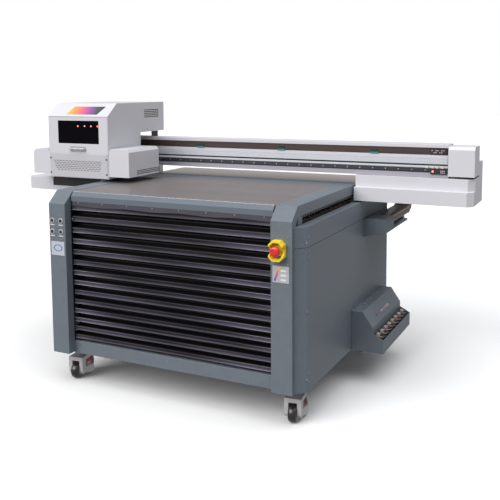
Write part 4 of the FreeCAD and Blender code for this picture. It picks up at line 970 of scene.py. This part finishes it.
base_plate = brick((shroud_low[0] + 0.002, shroud_high[1] - 0.0050, shroud_low[2] + 0.018),
                   (shroud_high[0] - 0.002, shroud_high[1] - 0.0002, shroud_high[2] - 0.018), 0.0010)
shroud = piece_of("stop_guard", [guard_ring(), base_plate], yellow, "base", crease=40)
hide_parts("estop_shroud")


def turned_button(name, node, body, material, back, head, *rim):
    """A button turned about Y, in place of a CAD node: back is measured from its seat, head from its tip."""
    low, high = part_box(node)
    deep = high[1] - low[1]
    profile = back + [(radius, deep - depth) for radius, depth in head]
    x, _, z = middle_of(node)
    made = piece_of(name, [placed(spun(profile, *rim), (x, high[1], z), (0, -1, 0))], material, body)
    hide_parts(node)


turned_button(
    "stop_mushroom", "estop_button", "estop", moulded("red_mushroom", (0.72, 0.018, 0.014), 0.25, 0.5),
    [(0.0075, 0)],
    [(0.0075, 0.022), (0.0130, 0.0215), (0.0190, 0.0160), (0.01995, 0.0145), (0.01995, 0.0078),
     (0.0190, 0.0040), (0.0165, 0.0016), (0.0125, 0.0006), (0.0120, 0.0012), (0.0112, 0.0004),
     (0.0050, 0.0001), (0.0002, 0)],
    48, 24, 0.02,
)
for number in range(1, 5):
    turned_button(
        f"button_cap_{number}", f"push_button_{number}", f"button_{number}", black_plastic,
        [(0.0076, 0), (0.0079, 0.001)],
        [(0.0079, 0.0016), (0.0070, 0.0003), (0.0052, 0), (0.0046, 0.0010), (0.0010, 0.0013),
         (0.0001, 0.0013)], 28,
    )


def label_plates():
    """One finish for the column plates: pale bezels, a plate with a blue oval, one with a colour sweep."""
    made = Finish("printed_plates")
    x, z = made.axis("X"), made.axis("Z")
    lines = made.noise(400, 2.0, where=made.stretched((0.05, 1, 1)))
    oval = ((x + 0.537) / 0.024) ** 2 + ((z - 0.626) / 0.015) ** 2
    ring = (oval < 1.0) * (oval > 0.62)
    left = ring.mix((0.52, 0.54, 0.58), (0.03, 0.12, 0.42))
    foot, top = 0.5930, 0.6470
    lean = (x - 0.5210) - (z - 0.6200) * 0.36
    stripe = (lean > -0.0040) * (lean < 0.0040) * (z > foot) * (z < top)
    rise = z.node("MapRange", Value=z, From_Min=foot, From_Max=top)
    tints = z.node("ValToRGB", {"stops": [
        (0.0, (0.10, 0.06, 0.40)), (0.3, (0.40, 0.05, 0.36)), (0.55, (0.75, 0.10, 0.14)),
        (0.8, (0.85, 0.36, 0.06)), (1.0, (0.86, 0.62, 0.08))]}, Fac=rise)
    rows = made.place.math("PINGPONG", z + 0.0045, 0.0090) > 0.0052
    bars = rows * (x > 0.536) * (x < 0.558) * (z > foot + 0.002) * (z < top - 0.002)
    right = bars.mix(stripe.mix((0.44, 0.455, 0.48), tints), (0.74, 0.74, 0.75))
    plates = (x > 0.0).mix(left, right)
    bezels_from = 0.680
    tint = (z > bezels_from).mix(plates, (0.62, 0.62, 0.63))
    return made.close(bump=lines, depth=0.00003, Base_Color=tint, Roughness=0.28 + 0.1 * lines, Coat_Weight=0.4)


surface("front_plates", label_plates())
strips = [
    brick((x - 0.0125, COLUMN_Y - 0.0010, z - 0.0030), (x + 0.0125, COLUMN_Y - 0.0001, z + 0.0030), 0.0004)
    for x in BUTTON_X for z in (0.7290, 0.6800)
]
piece_of("button_labels", strips, moulded("label_white", (0.62, 0.62, 0.64), 0.5), "base")
spots = [(x, COLUMN_Y - 0.0012, z) for x in BUTTON_X for z in (0.7710, 0.6630)]
spots += [(x, COLUMN_Y - 0.0012, z) for x in (0.5075, 0.5665) for z in (0.6610, 0.7650)]
fastened("column_screws", spots, (0, -1, 0), 0.0030, 0.0013, "base")
surface("power_inlet", black_plastic)


# ---------------------------------------------------------------- ink station
# Eight colour markers on the sloping hood, and the bottles below it with white
# caps, each with the colour of its ink in the middle.
MARK_PITCH, BOTTLE_PITCH = 0.026, 0.056
INKS = [(0.02, 0.02, 0.02), (0.02, 0.10, 0.50), (0.55, 0.03, 0.22), (0.80, 0.62, 0.05), (0.16, 0.45, 0.68),
        (0.72, 0.32, 0.45), (0.66, 0.58, 0.46), (0.70, 0.64, 0.54)]
ink_low, ink_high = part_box("ink_bottles")
FIRST_BOTTLE_Y = ink_low[1] + 0.017
FIRST_MARK_Y = middle_of("ink_bottles")[1] - 0.115
CAP_RADIUS, CAP_HEIGHT = 0.0168, 0.0124
CAP_TILT = (0.50, 0, 0.866)


def ink_tints():
    """Glossy dye colours in eight steps along Y, with a slight swirl inside each."""
    made = Finish("ink_markers")
    swirl = made.noise(160, 3.0)
    y = made.axis("Y")
    on_hood, on_caps = (
        y.node("MapRange", Value=y, From_Min=first - pitch / 2, From_Max=first + 7.5 * pitch)
        for first, pitch in ((FIRST_MARK_Y, MARK_PITCH), (FIRST_BOTTLE_Y, BOTTLE_PITCH)))
    hood = made.axis("Z") > ink_high[2] + 0.012
    step = on_caps + hood * (on_hood - on_caps)
    ramp = step.node("ValToRGB", {"stops": [(k / 8, tint) for k, tint in enumerate(INKS)]}, Fac=step)
    ramp.socket.node.color_ramp.interpolation = "CONSTANT"
    return made.close(
        bump=swirl, depth=0.00005, Base_Color=(swirl * 0.25).mix(ramp, (0.3, 0.3, 0.3)),
        Roughness=0.22, Coat_Weight=0.7,
    )


surface("ink_bottles", moulded("bottle_black", (0.016, 0.014, 0.015), 0.38, 0.2))
hood_low, hood_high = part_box("ink_station")
slope_top = np.array([hood_low[0] + 0.053, 0, hood_high[2]])
slope = np.array([hood_low[0] + 0.099, 0, hood_low[2] + 0.113]) - slope_top
slope_out = np.array([-slope[2], 0, slope[0]]) / np.linalg.norm(slope)
hood_dot = spun([(0.0062, 0.0002), (0.0062, 0.0010), (0.0052, 0.0016), (0.0002, 0.0017)], 20)
cap_dot = spun([(0.0068, 0), (0.0066, 0.0010), (0.0045, 0.0015), (0.0002, 0.0016)], 20)
ribbed_cap = spun([
    (0.0160, 0), (CAP_RADIUS, 0.001), (CAP_RADIUS, 0.0105), (0.0152, CAP_HEIGHT), (0.0002, CAP_HEIGHT),
], 40, 20, 0.06)
marks, caps = [], []
for k in range(8):
    marks.append(placed(hood_dot, slope_top + 0.62 * slope + (0, FIRST_MARK_Y + k * MARK_PITCH, 0), slope_out))
    seat = np.array([0.741, FIRST_BOTTLE_Y + k * BOTTLE_PITCH, ink_high[2] - 0.0120])
    marks.append(placed(cap_dot, seat + (CAP_HEIGHT - 0.0001) * np.array(CAP_TILT), CAP_TILT))
    caps.append(placed(ribbed_cap, seat, CAP_TILT))
piece_of("ink_colour_marks", marks, ink_tints(), "base")
piece_of("bottle_caps", caps, moulded("cap_beige", (0.42, 0.34, 0.31), 0.35, 0.2), "base")
fastened("hood_screws", [(hood_low[0] + 0.020, y, hood_high[2] - 0.0004)
                         for y in np.linspace(hood_low[1] + 0.03, hood_high[1] - 0.03, 5)],
         (0, 0, 1), 0.0042, 0.0020, "base")


# ---------------------------------------------------------------- casters
# Die-cast forks, black tyres on grey hubs, and levelling feet with a red
# knurled dial between the guard ring and the deck.
def cast_zinc():
    """Die-cast zinc alloy: a pebbled skin, with grey stains and burnished patches spread by a slow noise."""
    made = Finish("die_cast_fork")
    skin_grain = made.noise(330, 4.0, 0.6)
    stain = made.noise(38, 4.0, 0.65)
    return made.close(
        bump=skin_grain, depth=0.00022, Base_Color=stain.mix((0.48, 0.46, 0.475), (0.70, 0.68, 0.70)),
        Metallic=0.35, Roughness=0.36 + 0.22 * stain,
    )


casting = cast_zinc()
tyre = moulded("black_tyre", (0.008, 0.007, 0.009), 0.26, 0.4)
hub_grey = moulded("hub_grey", (0.20, 0.20, 0.21), 0.42)
dial_red = moulded("red_dial", (0.62, 0.030, 0.028), 0.34, 0.3)
SWING = math.radians(8)
AXLE = (math.cos(SWING), math.sin(SWING), 0)
half_tyre = [(0.0305, -0.0163), (0.0330, -0.0158), (0.0358, -0.0120), (0.0374, -0.0075)]
half_hub = [(0.0052, -0.0165), (0.0200, -0.0165), (0.0215, -0.0150), (0.0290, -0.0150), (0.0305, -0.0163)]
tyre_shape = spun(half_tyre + [(0.0375, 0)] + [(radius, -side) for radius, side in half_tyre[::-1]], 56)
hub_shape = spun(half_hub + [(radius, -side) for radius, side in half_hub[::-1]], 40)
pad = [(0.0250, 0), (0.0258, 0.0012), (0.0258, 0.0055), (0.0240, 0.0070), (0.0120, 0.0125), (0.0080, 0.0135)]
threads = [(0.0079 - 0.0007 * (k % 2), 0.0135 + 0.0011 * k) for k in range(1, 73)]
stem_shape = spun(pad + threads, 24)
dial_shape = spun([(0.0090, 0.0500), (0.0262, 0.0500), (0.0278, 0.0515), (0.0278, 0.0660), (0.0262, 0.0678),
                   (0.0150, 0.0680), (0.0090, 0.0670)], 72, 24, 0.07)
for place in ("front_left", "front_right", "rear_left", "rear_right"):
    cover(f"caster_{place}_fork", f"fork_casting_{place}", casting, 0.0014, 2)
    hub = middle_of(f"caster_{place}_wheel")
    wheel = piece_of(f"caster_tyre_{place}", [placed(tyre_shape, hub, AXLE), placed(hub_shape, hub, AXLE)],
                     [tyre, hub_grey], f"wheel_{place}", slots=[0, 1])
    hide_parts(f"caster_{place}_wheel")
    seat = middle_of(f"caster_{place}_foot")
    seat[2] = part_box(f"caster_{place}_foot")[0][2]
    foot = piece_of(f"levelling_foot_{place}", [placed(stem_shape, seat), placed(dial_shape, seat)],
                    [blackened, dial_red], f"foot_{place}", slots=[0, 1])
    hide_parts(f"caster_{place}_foot")
